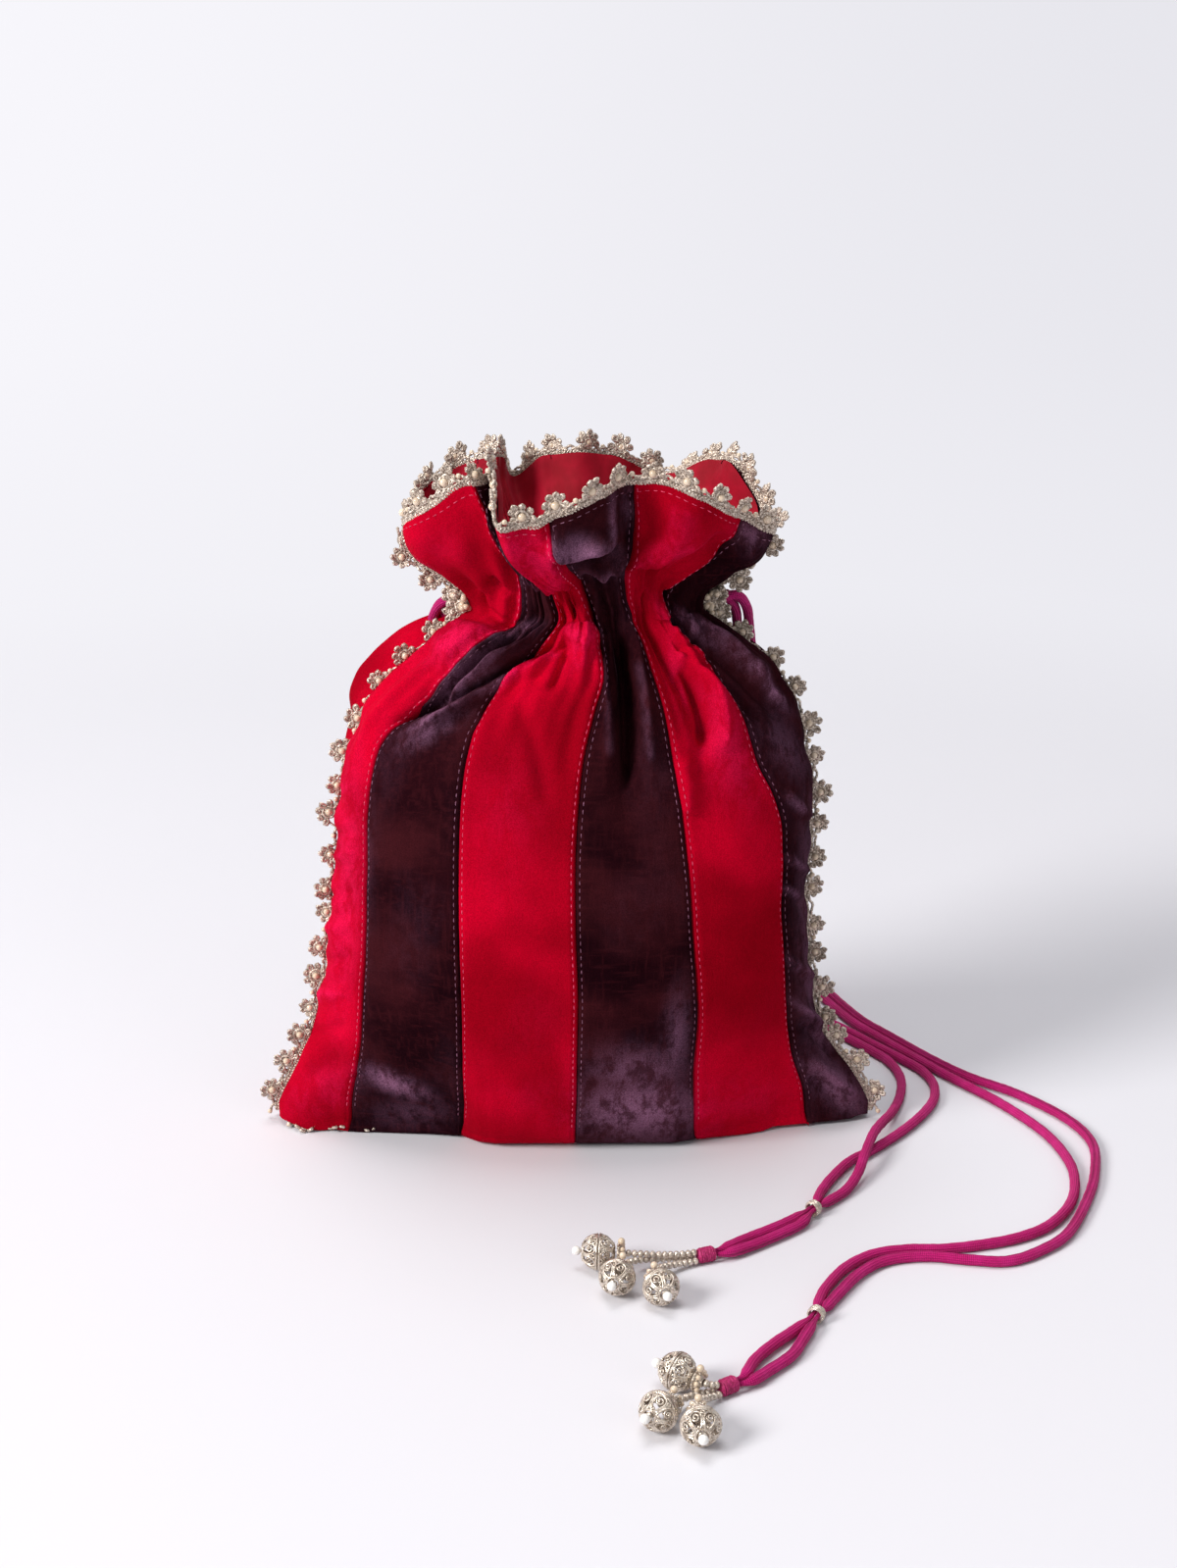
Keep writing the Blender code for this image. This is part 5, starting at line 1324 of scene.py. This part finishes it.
def add_lining():
    """The lining bag. In the ruffle it lies close behind the velvet and follows its folds."""
    rows = np.concatenate([np.linspace(1.2, 13.0, 26), np.linspace(13.3, LIP_ROW - 0.02, 76)])
    row, across = np.meshgrid(rows, np.linspace(-1, 1, LINING_COLUMNS), indexing="ij")
    beside = 1 - ramp(0.9, 1, np.abs(across))
    follow = ramp(15.2, 17.0, row)[..., None]
    rings = []
    for side in (-1, 1):
        puckers = 0.0006 * waves(across, row / 12.0, (0.06, 0.2), 16, 91 + side, (-0.3, 0.3))
        puckers = puckers * ramp(10, 13.5, row)
        body = lining_face(across, row, side, 0.0)
        body = body - outward(smooth_skin, across, row, side) * np.abs(puckers * beside)[..., None]
        point, normal, _ = velvet(across, row, side)
        near = point - normal * LINING_BEHIND
        near[..., 0] -= LINING_BEHIND / 2 * ramp(0.88, 1.0, np.abs(across)) * np.sign(across)
        rings.append(body * (1 - follow) + near * follow)
    ring = np.concatenate([rings[0], rings[1][:, ::-1][:, 1:-1]], axis=1)
    last = LINING_COLUMNS
    back = np.concatenate([ring[0, :1], ring[0, last:][::-1], ring[0, last - 1 : last]])
    batch = Batch()
    batch.add(ring, grid_quads(*ring.shape[:2], flip=True, ring=True))
    batch.add(np.stack([ring[0, :last], back]), grid_quads(2, last))
    piece = batch.make("lining_cloth", MATERIALS["lining"])
    finish_piece(piece, "red_lining", "lining")


LACE_THREAD = 0.00046
PLAIT_STEP = 0.00042
PLAIT_PITCH = 0.0034
PEARL_HEIGHT = 0.0046
OUTER_RING = 0.00195
INNER_RING = 0.00120
LOBES = 6
LOBE_REACH = 0.00325
BOTTOM_LACE_HALF = BASE_HALF_WIDTH - 0.004
# How far the left and the right side lace's base lies behind the cloth's edge at the rows, in mm
LACE_BEHIND = {
    -1: (
        (1, 0.4), (5, 0.6), (7, 1.8), (9, 2.6), (10, 3.6), (12.4, 3.4), (13.5, 1.2), (15, 0.6), (19, 0.6),
    ),
    1: (
        (1, 0.4), (5, 0.8), (6, 1.6), (9, 1.6), (10, 2.4), (12.4, 3.0), (13.5, 1.2), (15, 0.8), (19, 0.8),
    ),
}
LEAVES = 7
FLOOR_REACH = 15.0
BEND_START, BEND_RADIUS = 2.4, 1.2


class Run:
    """A strip of lace laid out flat: u along its base, v outwards and w towards its face, in metres."""

    def __init__(self, base, away, face, ring=False):
        self.lengths = lengths_along(base)
        self.total = self.lengths[-1]
        self.ring = ring
        self.base = base
        self.away, self.face, self.along = unit(away), unit(face), unit(np.gradient(base, axis=0))

    def at(self, values, u):
        return interpolated(u, self.lengths, values)

    def place(self, u, v, w):
        u, v, w = (np.asarray(each, float) for each in (u, v, w))
        if self.ring:
            u = np.mod(u, self.total)
        beyond = u - np.clip(u, 0.0, self.total)
        return (
            self.at(self.base, u) + self.at(self.along, u) * beyond[..., None]
            + self.at(self.away, u) * v[..., None] + self.at(self.face, u) * w[..., None]
        )

    def flat_at(self, middle):
        """A placing like place, but flat: for a flower that keeps its shape where the base bends."""
        origin, along, away, face = (
            self.at(values, middle) for values in (self.base, self.along, self.away, self.face)
        )
        return lambda u, v, w: (
            origin + np.asarray(u - middle)[..., None] * along + np.asarray(v)[..., None] * away
            + np.asarray(w)[..., None] * face
        )


def rope(length, radius, seed):
    """A thread's radius along its length, swelling where it is knotted."""
    knots = 1 + 0.20 * np.sin(length * 2 * math.pi / 0.00095 + seed)
    return radius * (knots + 0.06 * np.sin(length * 2900.0 + seed))


def lace_rope(batch, points, thickness, closed, seed):
    """A crocheted thread, some times as thick as the plain lace thread."""
    radii = rope(lengths_along(points), LACE_THREAD * thickness, seed)
    add_tube(batch, points, radii, 5, closed=closed)


def lace_lean(u, seed):
    """The lace's slow swings towards its face and away from it."""
    return 0.0004 * np.sin(u * 310.0 + seed) + 0.0003 * np.sin(u * 790.0 + 2.0 * seed)


def add_plait(threads, run, pitch, seed):
    """The lace's base: three plaited threads, and one that waves beside them."""
    count = int(run.total / PLAIT_STEP)
    u = np.linspace(0, run.total, count + 1)[: -1 if run.ring else None]
    lean = lace_lean(u, seed)
    for number in range(3):
        phase = 2 * math.pi * (u / PLAIT_PITCH + number / 3)
        plaited = run.place(u, 0.0012 + 0.00078 * np.sin(phase), 0.00034 * np.sin(2 * phase) + lean * 0.3)
        lace_rope(threads, plaited, 1.0, run.ring, number)
    wave = 0.0028 + 0.0006 * np.cos(2 * math.pi * u / pitch) + 0.00025 * np.sin(u * 1900.0)
    waved = run.place(u, wave, 0.0004 * np.sin(u * 1500.0) + lean * 0.5)
    lace_rope(threads, waved, 1.1, run.ring, 4.0)


def add_flower(threads, run, pitch, seed, pick, number, place, height, uneven):
    """Two rings round a pearl's place, two arms and six lobes. It gives the pearl's place and size."""
    middle, raised, turned = place
    size = pick.uniform(1 - 0.08 * uneven, 1 + 0.08 * uneven) * height
    tilt = pick.uniform(-0.3, 0.3) * uneven + turned
    bow = pick.uniform(-0.0009, 0.0011)
    cup = pick.uniform(-0.10, 0.16)
    centre_v = PEARL_HEIGHT * (0.55 + 0.45 * size)
    flat = run.flat_at(middle)

    def spot(du, dv, dw=0.0):
        turned_u = du * math.cos(tilt) - dv * math.sin(tilt)
        turned_v = du * math.sin(tilt) + dv * math.cos(tilt)
        high = centre_v + turned_v * size
        lift = dw + bow * high / 0.005 + cup * turned_u + lace_lean(middle + turned_u, seed) * high / 0.005
        return flat(middle + turned_u * size, high, lift + raised)

    turn = full_turn(20)
    outer = spot(OUTER_RING * np.cos(turn), OUTER_RING * np.sin(turn), 0.0001 * np.sin(3 * turn))
    lace_rope(threads, outer, 1.2, True, number)
    turn = full_turn(14)
    inner = spot(INNER_RING * np.cos(turn), INNER_RING * np.sin(turn), -0.0002)
    lace_rope(threads, inner, 1.2, True, number)
    for side in (-1, 1):
        t = np.linspace(0, 1, 9)
        arm_u = side * (0.0021 + (pitch / 2 - 0.0026) * t**1.2)
        arm_v = -0.0007 - 0.0017 * t**0.7
        arm_w = 0.0003 * np.sin(t * 5)
        share = ramp(0.0, 0.7, t)[:, None]
        near = spot(arm_u, arm_v, arm_w)
        joined = run.place(middle + arm_u, centre_v + arm_v, arm_w + lace_lean(middle + arm_u, seed) * 0.5)
        lace_rope(threads, near * (1 - share) + joined * share, 1.15, False, number + side)
    for lobe in range(LOBES):
        way = math.radians(-20 + 220 * lobe / (LOBES - 1) + pick.uniform(-5, 5))
        reach = LOBE_REACH * pick.uniform(0.94, 1.06)
        loop = full_turn(11)
        across = 0.00074 * np.sin(loop)
        out = reach + 0.00088 * np.cos(loop) * pick.uniform(0.9, 1.15)
        loop_u = out * math.cos(way) - across * math.sin(way)
        loop_v = out * math.sin(way) + across * math.cos(way)
        wavy = pick.uniform(-0.0003, 0.0004) + 0.0003 * np.cos(loop)
        lace_rope(threads, spot(loop_u, loop_v, wavy), 1.22, True, lobe)
        add_bead(threads, spot(reach * math.cos(way), reach * math.sin(way)), 0.00052, template=LOBE_BEAD)
    return spot(0.0, 0.0, 0.0005), 0.85 + 0.15 * size


def add_lace(name, node, run, seed, height=1.0, pearl=0.00134, extras=(), loose=(), uneven=1.0):
    """Crocheted metallic lace: a plaited base, and a flower of loops round a pearl in each scallop."""
    pick = np.random.default_rng(seed)
    repeats = max(1, round(run.total / SCALLOP_PITCH))
    pitch = run.total / repeats
    threads, pearls = Batch(), Batch()
    add_plait(threads, run, pitch, seed)
    shift = 0.0008 * uneven
    flowers = [((number + 0.5) * pitch + pick.uniform(-shift, shift), 0.0, 0.0) for number in range(repeats)]
    for number, place in enumerate([*flowers, *extras]):
        middle, size = add_flower(threads, run, pitch, seed, pick, number, place, height, uneven)
        add_bead(pearls, middle, pearl * size, template=LACE_BEAD)
        if number < repeats and (number % 2 == 0 or pick.random() < 0.3):
            u = number * pitch + pick.uniform(-0.0006, 0.0006)
            add_bead(pearls, run.place(u, 0.0040, 0.0006 + lace_lean(u, seed)), 0.00088)
    for u, v, w in loose:
        add_bead(pearls, run.place(u, v, w), 0.00112, template=LACE_BEAD)
    for points in (*threads.points, *pearls.points):
        above_floor(points)
    finish_piece(threads.make(name, MATERIALS["lace"]), "antique_lace", node)
    finish_piece(pearls.make(f"{name}_pearls", MATERIALS["cream"]), "pearl")


def mouth_run():
    """The lace's base goes round the lip and stands up from it, and its ways turn evenly."""
    share = np.linspace(-1, 1, 420)
    parts = []
    for side in (-1, 1):
        row = np.full(share.shape, float(LIP_ROW))
        point, normal, _ = velvet(share, row, side)
        below, _, _ = velvet(share, row - 0.35, side)
        up = unit(point - below)
        base = point - normal * 0.0003 - up * 0.0011
        parts.append([values if side < 0 else values[::-1][1:] for values in (base, up, normal)])
    base, away, face = (np.concatenate(pair) for pair in zip(*parts))
    spread = 9
    window = np.ones(spread) / spread
    for values in (away, face):
        for k in range(3):
            padded = np.concatenate([values[-spread - 1 : -1, k], values[:, k], values[1 : spread + 1, k]])
            values[:, k] = np.convolve(padded, window, mode="same")[spread:-spread]
    return Run(base, away, face, ring=True)


def side_run(side_of_bag):
    """A side lace, mostly behind the cloth's edge but out from it at the neck, and the neck's places."""
    row = np.linspace(1.0, LIP_ROW, 260)
    base = smooth_skin(np.full(row.shape, float(side_of_bag)), row, -1)
    base[:, 1] = 0.0
    away = unit(np.cross((0.0, 1.0, 0.0), np.gradient(base, axis=0)) * side_of_bag)
    face = np.tile((0.0, -1.0, 0.0), (len(row), 1))
    hidden = np.interp(row, *zip(*LACE_BEHIND[side_of_bag])) * MM
    base = base - hidden[:, None] * away
    return Run(base, away, face), np.interp((13.3, 14.1, 15.0), row, lengths_along(base))


def bottom_run():
    """The lace under the front, forward of the seam at the left and behind it at the right."""
    x = np.linspace(-BOTTOM_LACE_HALF, BOTTOM_LACE_HALF, 60)
    forward = 0.0046 * (1 - ramp(-0.076, -0.060, x)) - 0.0070 * ramp(0.030, 0.055, x)
    base = np.stack([x, -forward, np.full(60, 0.0009)], axis=1)
    return Run(base, np.tile((0.0, -1.0, 0.0), (60, 1)), np.tile(UP, (60, 1)))


def add_laces():
    add_lace("lace_mouth", "mouth_lace", mouth_run(), 3)
    sides = ((-1, "left", 5, (0.0026, 0.0040, 0.0022), 2), (1, "right", 7, (0.0030, 0.0046, 0.0034), 4))
    for side, word, seed, lifts, loose_reach in sides:
        run, places = side_run(side)
        extras = list(zip(places, lifts, (0.5, -0.4, 0.7)))
        loose = [
            (
                places[1] + 0.0021 * step, 0.0030 + 0.0011 * math.sin(2.1 * step),
                0.0050 + 0.0006 * math.cos(3.0 * step),
            )
            for step in range(-loose_reach, loose_reach + 1)
        ]
        add_lace(f"lace_side_{word}", f"side_lace_{word}", run, seed, 0.95, 0.00118, extras, loose, 1.7)
    add_lace("lace_bottom", "bottom_lace", bottom_run(), 9)


def axes_for(aim, position):
    """A matrix that takes +Z to the aim and the origin to the position."""
    turn = np.array(Vector(aim).to_track_quat("Z", "Y").to_matrix())
    return lambda points: np.asarray(points, float) @ turn.T + np.asarray(position, float)


def lathe(batch, profile, segments, lay, closed=False):
    """A turned shape: its (radius, height) points, laid in place."""
    profile = np.asarray(profile, float)
    if closed:
        profile = np.concatenate([profile, profile[:1]])
    ring = round_points(profile[:, :1], full_turn(segments), profile[:, 1:])
    batch.add(lay(ring.reshape(-1, 3)), grid_quads(len(profile), segments, ring=True))


def wire(batch, points, radius, lay, closed=False, sides=5, beaded=0.0):
    placed = lay(points)
    radii = radius * (1 + beaded * np.sin(lengths_along(placed) * 2 * math.pi / 0.0008))
    add_tube(batch, placed, radii, sides, closed=closed)


def add_keeper(name, keeper, aim):
    """A small ring of twisted wire with rolled rims."""
    outer = keeper_radius()
    inner, band = outer - KEEPER_WALL, outer - 0.00025
    half = KEEPER_LENGTH / 2
    lay = axes_for((*aim, 0.0), (keeper[0] * MM, keeper[1] * MM, keeper_height()))
    batch = Batch()
    lathe(batch, ((inner, -half), (band, -half), (band, half), (inner, half)), 28, lay, True)
    turns = 5
    t = np.linspace(0, 1, turns * 26)
    coil = round_points(outer - 0.00012, 2 * math.pi * turns * t, (t - 0.5) * KEEPER_LENGTH * 0.86)
    wire(batch, coil, 0.00027, lay, beaded=0.22)
    return finish_piece(batch.make(f"{name}_ring", MATERIALS["seed"]), "antique_silver", name)


def add_whipping(name, start, aim):
    """Thread wound round the cord's ends, with a few turns crossing."""
    position, aim = whipping_frame(start, aim)
    lay = axes_for(aim, position)
    core = WHIPPING_DIAMETER / 2 - 0.0004
    batch = Batch()
    profile = (
        (0.0, 0.0), (core * 0.8, 0.0), (core, 0.0008), (core, WHIPPING_LENGTH - 0.0008),
        (core * 0.8, WHIPPING_LENGTH), (0.0, WHIPPING_LENGTH),
    )
    lathe(batch, profile, 24, lay)
    turns = 13
    t = np.linspace(0, 1, turns * 22)
    swell = core + 0.00012 + 0.0001 * np.sin(t * 40)
    swell = swell - 0.0004 * (1 - ramp(0.0, 0.1, 1 - t)) - 0.0004 * (1 - ramp(0.0, 0.1, t))
    along = 0.0003 + t * (WHIPPING_LENGTH - 0.0006) + 0.00012 * np.sin(t * 57)
    wire(batch, round_points(swell, 2 * math.pi * turns * t, along), 0.00031, lay)
    return finish_piece(batch.make(f"{name}_thread", MATERIALS["whipping"]), "magenta_cord", name)


def on_ball(radius, latitude, longitude, lift=0.0):
    """Points on a sphere from angles in radians."""
    return round_points(np.cos(latitude) * (radius + lift), longitude, np.sin(latitude) * (radius + lift))


def add_ball(name, middle, axis, seed):
    """A filigree ball: two halves of leaf loops and scrolls, joined by a plain double ring."""
    lay = axes_for(axis, middle)
    batch = Batch()
    radius = BALL_DIAMETER / 2 - 0.00045
    thick = 0.00036
    for level in (-0.085, 0.085):
        wire(batch, on_ball(radius + 0.00012, level, full_turn(40)), thick * 1.15, lay, closed=True)
    for level in (-1.19, 1.19):
        wire(batch, on_ball(radius, level, full_turn(40))[::2], thick, lay, closed=True, beaded=0.15)
    start = np.random.default_rng(seed).uniform(0, 1)
    width = math.pi / LEAVES
    for half in (-1, 1):
        for number in range(LEAVES):
            heading = 2 * math.pi * (number + start + (0.5 if half > 0 else 0.0)) / LEAVES
            between = heading + width
            t = full_turn(26)
            high = 0.66 - 0.50 * np.cos(t)
            wide = width * 0.94 * np.sin(t) * (0.55 + 0.62 * (1.16 - high))
            leaf = on_ball(radius, half * high, heading + wide / np.maximum(np.cos(high), 0.35) * 0.80)
            wire(batch, leaf, thick, lay, closed=True)
            t = np.linspace(0, 1, 20)
            curl = 2.6 * math.pi * t
            reach = 0.235 * (1 - 0.72 * t)
            wide = reach * np.cos(curl) / np.cos(0.5) * 0.9
            scroll = on_ball(radius, half * (0.50 + reach * np.sin(curl)), heading + wide)
            wire(batch, scroll, thick * 0.9, lay, sides=4)
            t = full_turn(10)
            eye = on_ball(radius, half * (0.26 + 0.10 * np.sin(t)), between + 0.105 * np.cos(t))
            wire(batch, eye, thick * 0.85, lay, closed=True, sides=4)
            rib = on_ball(radius, half * (0.36 + 0.80 * np.linspace(0, 1, 6)), between)
            wire(batch, rib, thick * 0.8, lay, sides=4)
            add_bead(batch, lay(on_ball(radius, half * 1.02, heading, 0.0001)), 0.00042)
    for pole in (-1, 1):
        profile = ((0.0, radius + 0.0001), (0.0011, radius - 0.0001), (0.0013, radius - 0.0005))
        lathe(batch, [(out, pole * high) for out, high in profile], 14, lay)
    return finish_piece(batch.make(f"{name}_filigree", MATERIALS["metal"]), "antique_silver", name)


def add_cap(name, seat, axis):
    """A flared cap with a rim of small loops and grains."""
    lay = axes_for(axis, seat)
    batch = Batch()
    rim, neck = CAP_DIAMETER / 2, STRING_DIAMETER / 2
    t = np.linspace(0, 1, 9)
    outer = np.stack([neck + (rim - 0.0003 - neck) * t**0.62, -CAP_LENGTH * (1 - t)], axis=1)
    inner = outer[::-1] - np.array((0.00035, 0.0))
    lathe(batch, np.concatenate([outer, inner]), 28, lay, True)
    lathe(batch, ((0.0, -CAP_LENGTH * 0.9), (neck, -CAP_LENGTH * 0.9)), 12, lay)
    waist = neck + (rim - neck) * 0.55
    for angle in full_turn(12):
        t = full_turn(9)
        out = rim - 0.0003 + 0.00050 * np.cos(t)
        loop = round_points(out, angle + 0.00058 * np.sin(t) / rim, -0.00015 - 0.0003 * np.cos(t))
        wire(batch, loop, 0.00021, lay, closed=True, sides=4)
        add_bead(batch, lay(round_points(waist, angle, -CAP_LENGTH * 0.52)), 0.00036)
    wire(batch, round_points(neck, full_turn(24), -CAP_LENGTH), 0.0003, lay, closed=True)
    return finish_piece(batch.make(f"{name}_bell", MATERIALS["metal"]), "antique_silver", name)


def add_beads(name, start, start_aim, end, end_aim):
    """A string of small round beads along a smooth curve, between the whipping and the cap."""
    length = (end - start).length
    pulled = (start, start + start_aim * length / 3, end - end_aim * length / 3, end)
    a, b, c, d = (np.array(each) for each in pulled)
    t = np.linspace(0, 1, 200)[:, None]
    line = (1 - t) ** 3 * a + 3 * t * (1 - t) ** 2 * b + 3 * t * t * (1 - t) * c + t**3 * d
    lengths = lengths_along(line)
    batch = Batch()
    add_tube(batch, line[::12], 0.0004, 6)
    size = STRING_DIAMETER / 2
    count = max(3, round(lengths[-1] / (size * 1.62)))
    at = (np.arange(count) + 0.5) * lengths[-1] / count
    ways, _, _ = frames_along(line)
    for place, way in zip(interpolated(at, lengths, line), interpolated(at, lengths, ways)):
        add_bead(batch, place, size * 0.98, way, 0.84, SEED_BEAD)
    return finish_piece(batch.make(f"{name}_beads", MATERIALS["seed"]), "antique_silver", name)


def add_end_pearl(name, place):
    batch = Batch()
    add_bead(batch, place, END_PEARL_DIAMETER / 2, template=FINE_BEAD)
    return finish_piece(batch.make(f"{name}_drop", MATERIALS["white"]), "pearl", name)


def add_cluster(name, seat, cap, axis, lift):
    """The pearl on a cap, with smaller ones round the cap's waist where the floor leaves room."""
    batch = Batch()
    add_bead(batch, seat, CAP_PEARL_DIAMETER / 2, template=FINE_BEAD)
    beside = axis.cross(lift)
    for angle in (-80, -38, 38, 80, 130, -130):
        turn = math.radians(angle)
        out = lift * math.cos(turn) + beside * math.sin(turn)
        spot = cap - axis * CAP_LENGTH * 0.72 + out * 0.0027
        if spot.z > 0.0010:
            add_bead(batch, spot, 0.00078, template=LACE_BEAD)
    return finish_piece(batch.make(f"{name}_drop", MATERIALS["cream"]), "pearl", name)


def add_tassel(name, whipping, aim, drops):
    """A whipping, and three strings of beads that each end in a cap, a ball and a pearl."""
    pieces = [add_whipping(f"{name}_whipping", whipping, aim)]
    start, way = whipping_frame(whipping, aim)
    face = start + way * (WHIPPING_LENGTH + GAP)
    up = Vector(UP)
    beside = way.cross(up)
    ring = (STRING_DIAMETER + GAP) / math.sqrt(3)
    radius = BALL_DIAMETER / 2
    for number, ((x, y), pointing) in enumerate(drops, 1):
        turn = math.radians(210 - 120 * number)
        begin = face + ring * (math.cos(turn) * beside + math.sin(turn) * up)
        axis = Vector(pointing).normalized()
        middle = Vector((x * MM, y * MM, radius + GAP))
        cap = middle - axis * (radius + GAP)
        end = middle + axis * (radius + GAP + END_PEARL_DIAMETER / 2 - 0.0007)
        tip = cap - axis * (CAP_LENGTH + GAP)
        lift = (up - axis * up.dot(axis)).normalized()
        seat = cap - axis * CAP_LENGTH * 0.5
        seat = seat + lift * (CAP_DIAMETER / 2 + GAP + CAP_PEARL_DIAMETER / 2 - 0.0006)
        pieces += [
            add_ball(f"{name}_ball_{number}", middle, axis, number + len(name)),
            add_end_pearl(f"{name}_end_pearl_{number}", end),
            add_cap(f"{name}_cap_{number}", cap, axis),
            add_beads(f"{name}_string_{number}", begin, way, tip, axis),
            add_cluster(f"{name}_cap_pearl_{number}", seat, cap, axis, lift),
        ]
    return pieces


def add_stage():
    """One pale sweep: a floor that curves up far behind the bag."""
    flat = [(y, 0.0) for y in np.linspace(-FLOOR_REACH, BEND_START, 30)]
    bend = [
        (BEND_START + BEND_RADIUS * math.sin(a), BEND_RADIUS * (1 - math.cos(a)))
        for a in np.linspace(0, math.pi / 2, 12)[1:]
    ]
    wall = [(BEND_START + BEND_RADIUS, BEND_RADIUS + h) for h in (0.8, 1.8, 3.0)]
    line = np.array(flat + bend + wall)
    x = np.linspace(-FLOOR_REACH, FLOOR_REACH, 9)
    batch = Batch()
    grid = np.stack(np.broadcast_arrays(x, line[:, :1], line[:, 1:]), axis=-1)
    batch.add(grid, grid_quads(*grid.shape[:2]))
    batch.make("studio_sweep", MATERIALS["floor"])


def add_light(name, place, aim, size, power, colour=(1.0, 1.0, 1.0)):
    data = bpy.data.lights.new(name, "AREA")
    data.energy = power
    data.color = colour
    data.shape = "DISK"
    data.size = size
    lamp = bpy.data.objects.new(name, data)
    lamp.location = place
    lamp.rotation_euler = (Vector(aim) - Vector(place)).to_track_quat("-Z", "Y").to_euler()
    bpy.context.scene.collection.objects.link(lamp)


def add_world(strength):
    """A dim even light, which the camera sees as the pale backdrop's own colour."""
    world = bpy.data.worlds.new("studio")
    bpy.context.scene.world = world
    world.use_nodes = True
    world.node_tree.nodes.clear()
    nodes = Nodes(world.node_tree)
    rays = nodes.node("ShaderNodeLightPath").outputs
    seen = nodes.maths("MAXIMUM", rays["Is Camera Ray"], rays["Is Transmission Ray"])
    ambient, backdrop = (
        nodes.fill(nodes.node("ShaderNodeBackground"), Color=colour, Strength=each).outputs[0]
        for colour, each in (((0.96, 0.97, 1.0, 1.0), strength), ((0.86, 0.855, 0.90, 1.0), 1.0))
    )
    nodes.fill(nodes.node("ShaderNodeOutputWorld"), Surface=nodes.either(seen, ambient, backdrop))


def add_lights():
    add_light("key", (-2.1, -1.35, 1.6), (0.0, 0.0, 0.10), 1.1, 86.0, (1.0, 0.985, 0.97))
    add_light("fill", (1.9, -1.8, 1.2), (0.0, 0.0, 0.10), 1.6, 6.0, (0.97, 0.98, 1.0))
    add_light("top", (-0.3, 0.4, 3.0), (0.0, 0.0, 0.05), 1.8, 40.0)
    add_world(0.33)


def add_ends():
    """Each cord's keeper and tassel."""
    for name, cord in DRAWCORDS.items():
        ring = add_keeper(f"keeper_{name}", cord.keeper, cord.keeper_aim)
        pieces = add_tassel(f"tassel_{name}", cord.whipping, cord.whipping_aim, cord.drops)


def main():
    add_camera()
    cords = add_cords()
    add_panels()
    add_lining()
    add_laces()
    add_ends()
    add_stage()
    add_lights()
    bpy.context.scene.view_settings.view_transform = "Standard"


main()
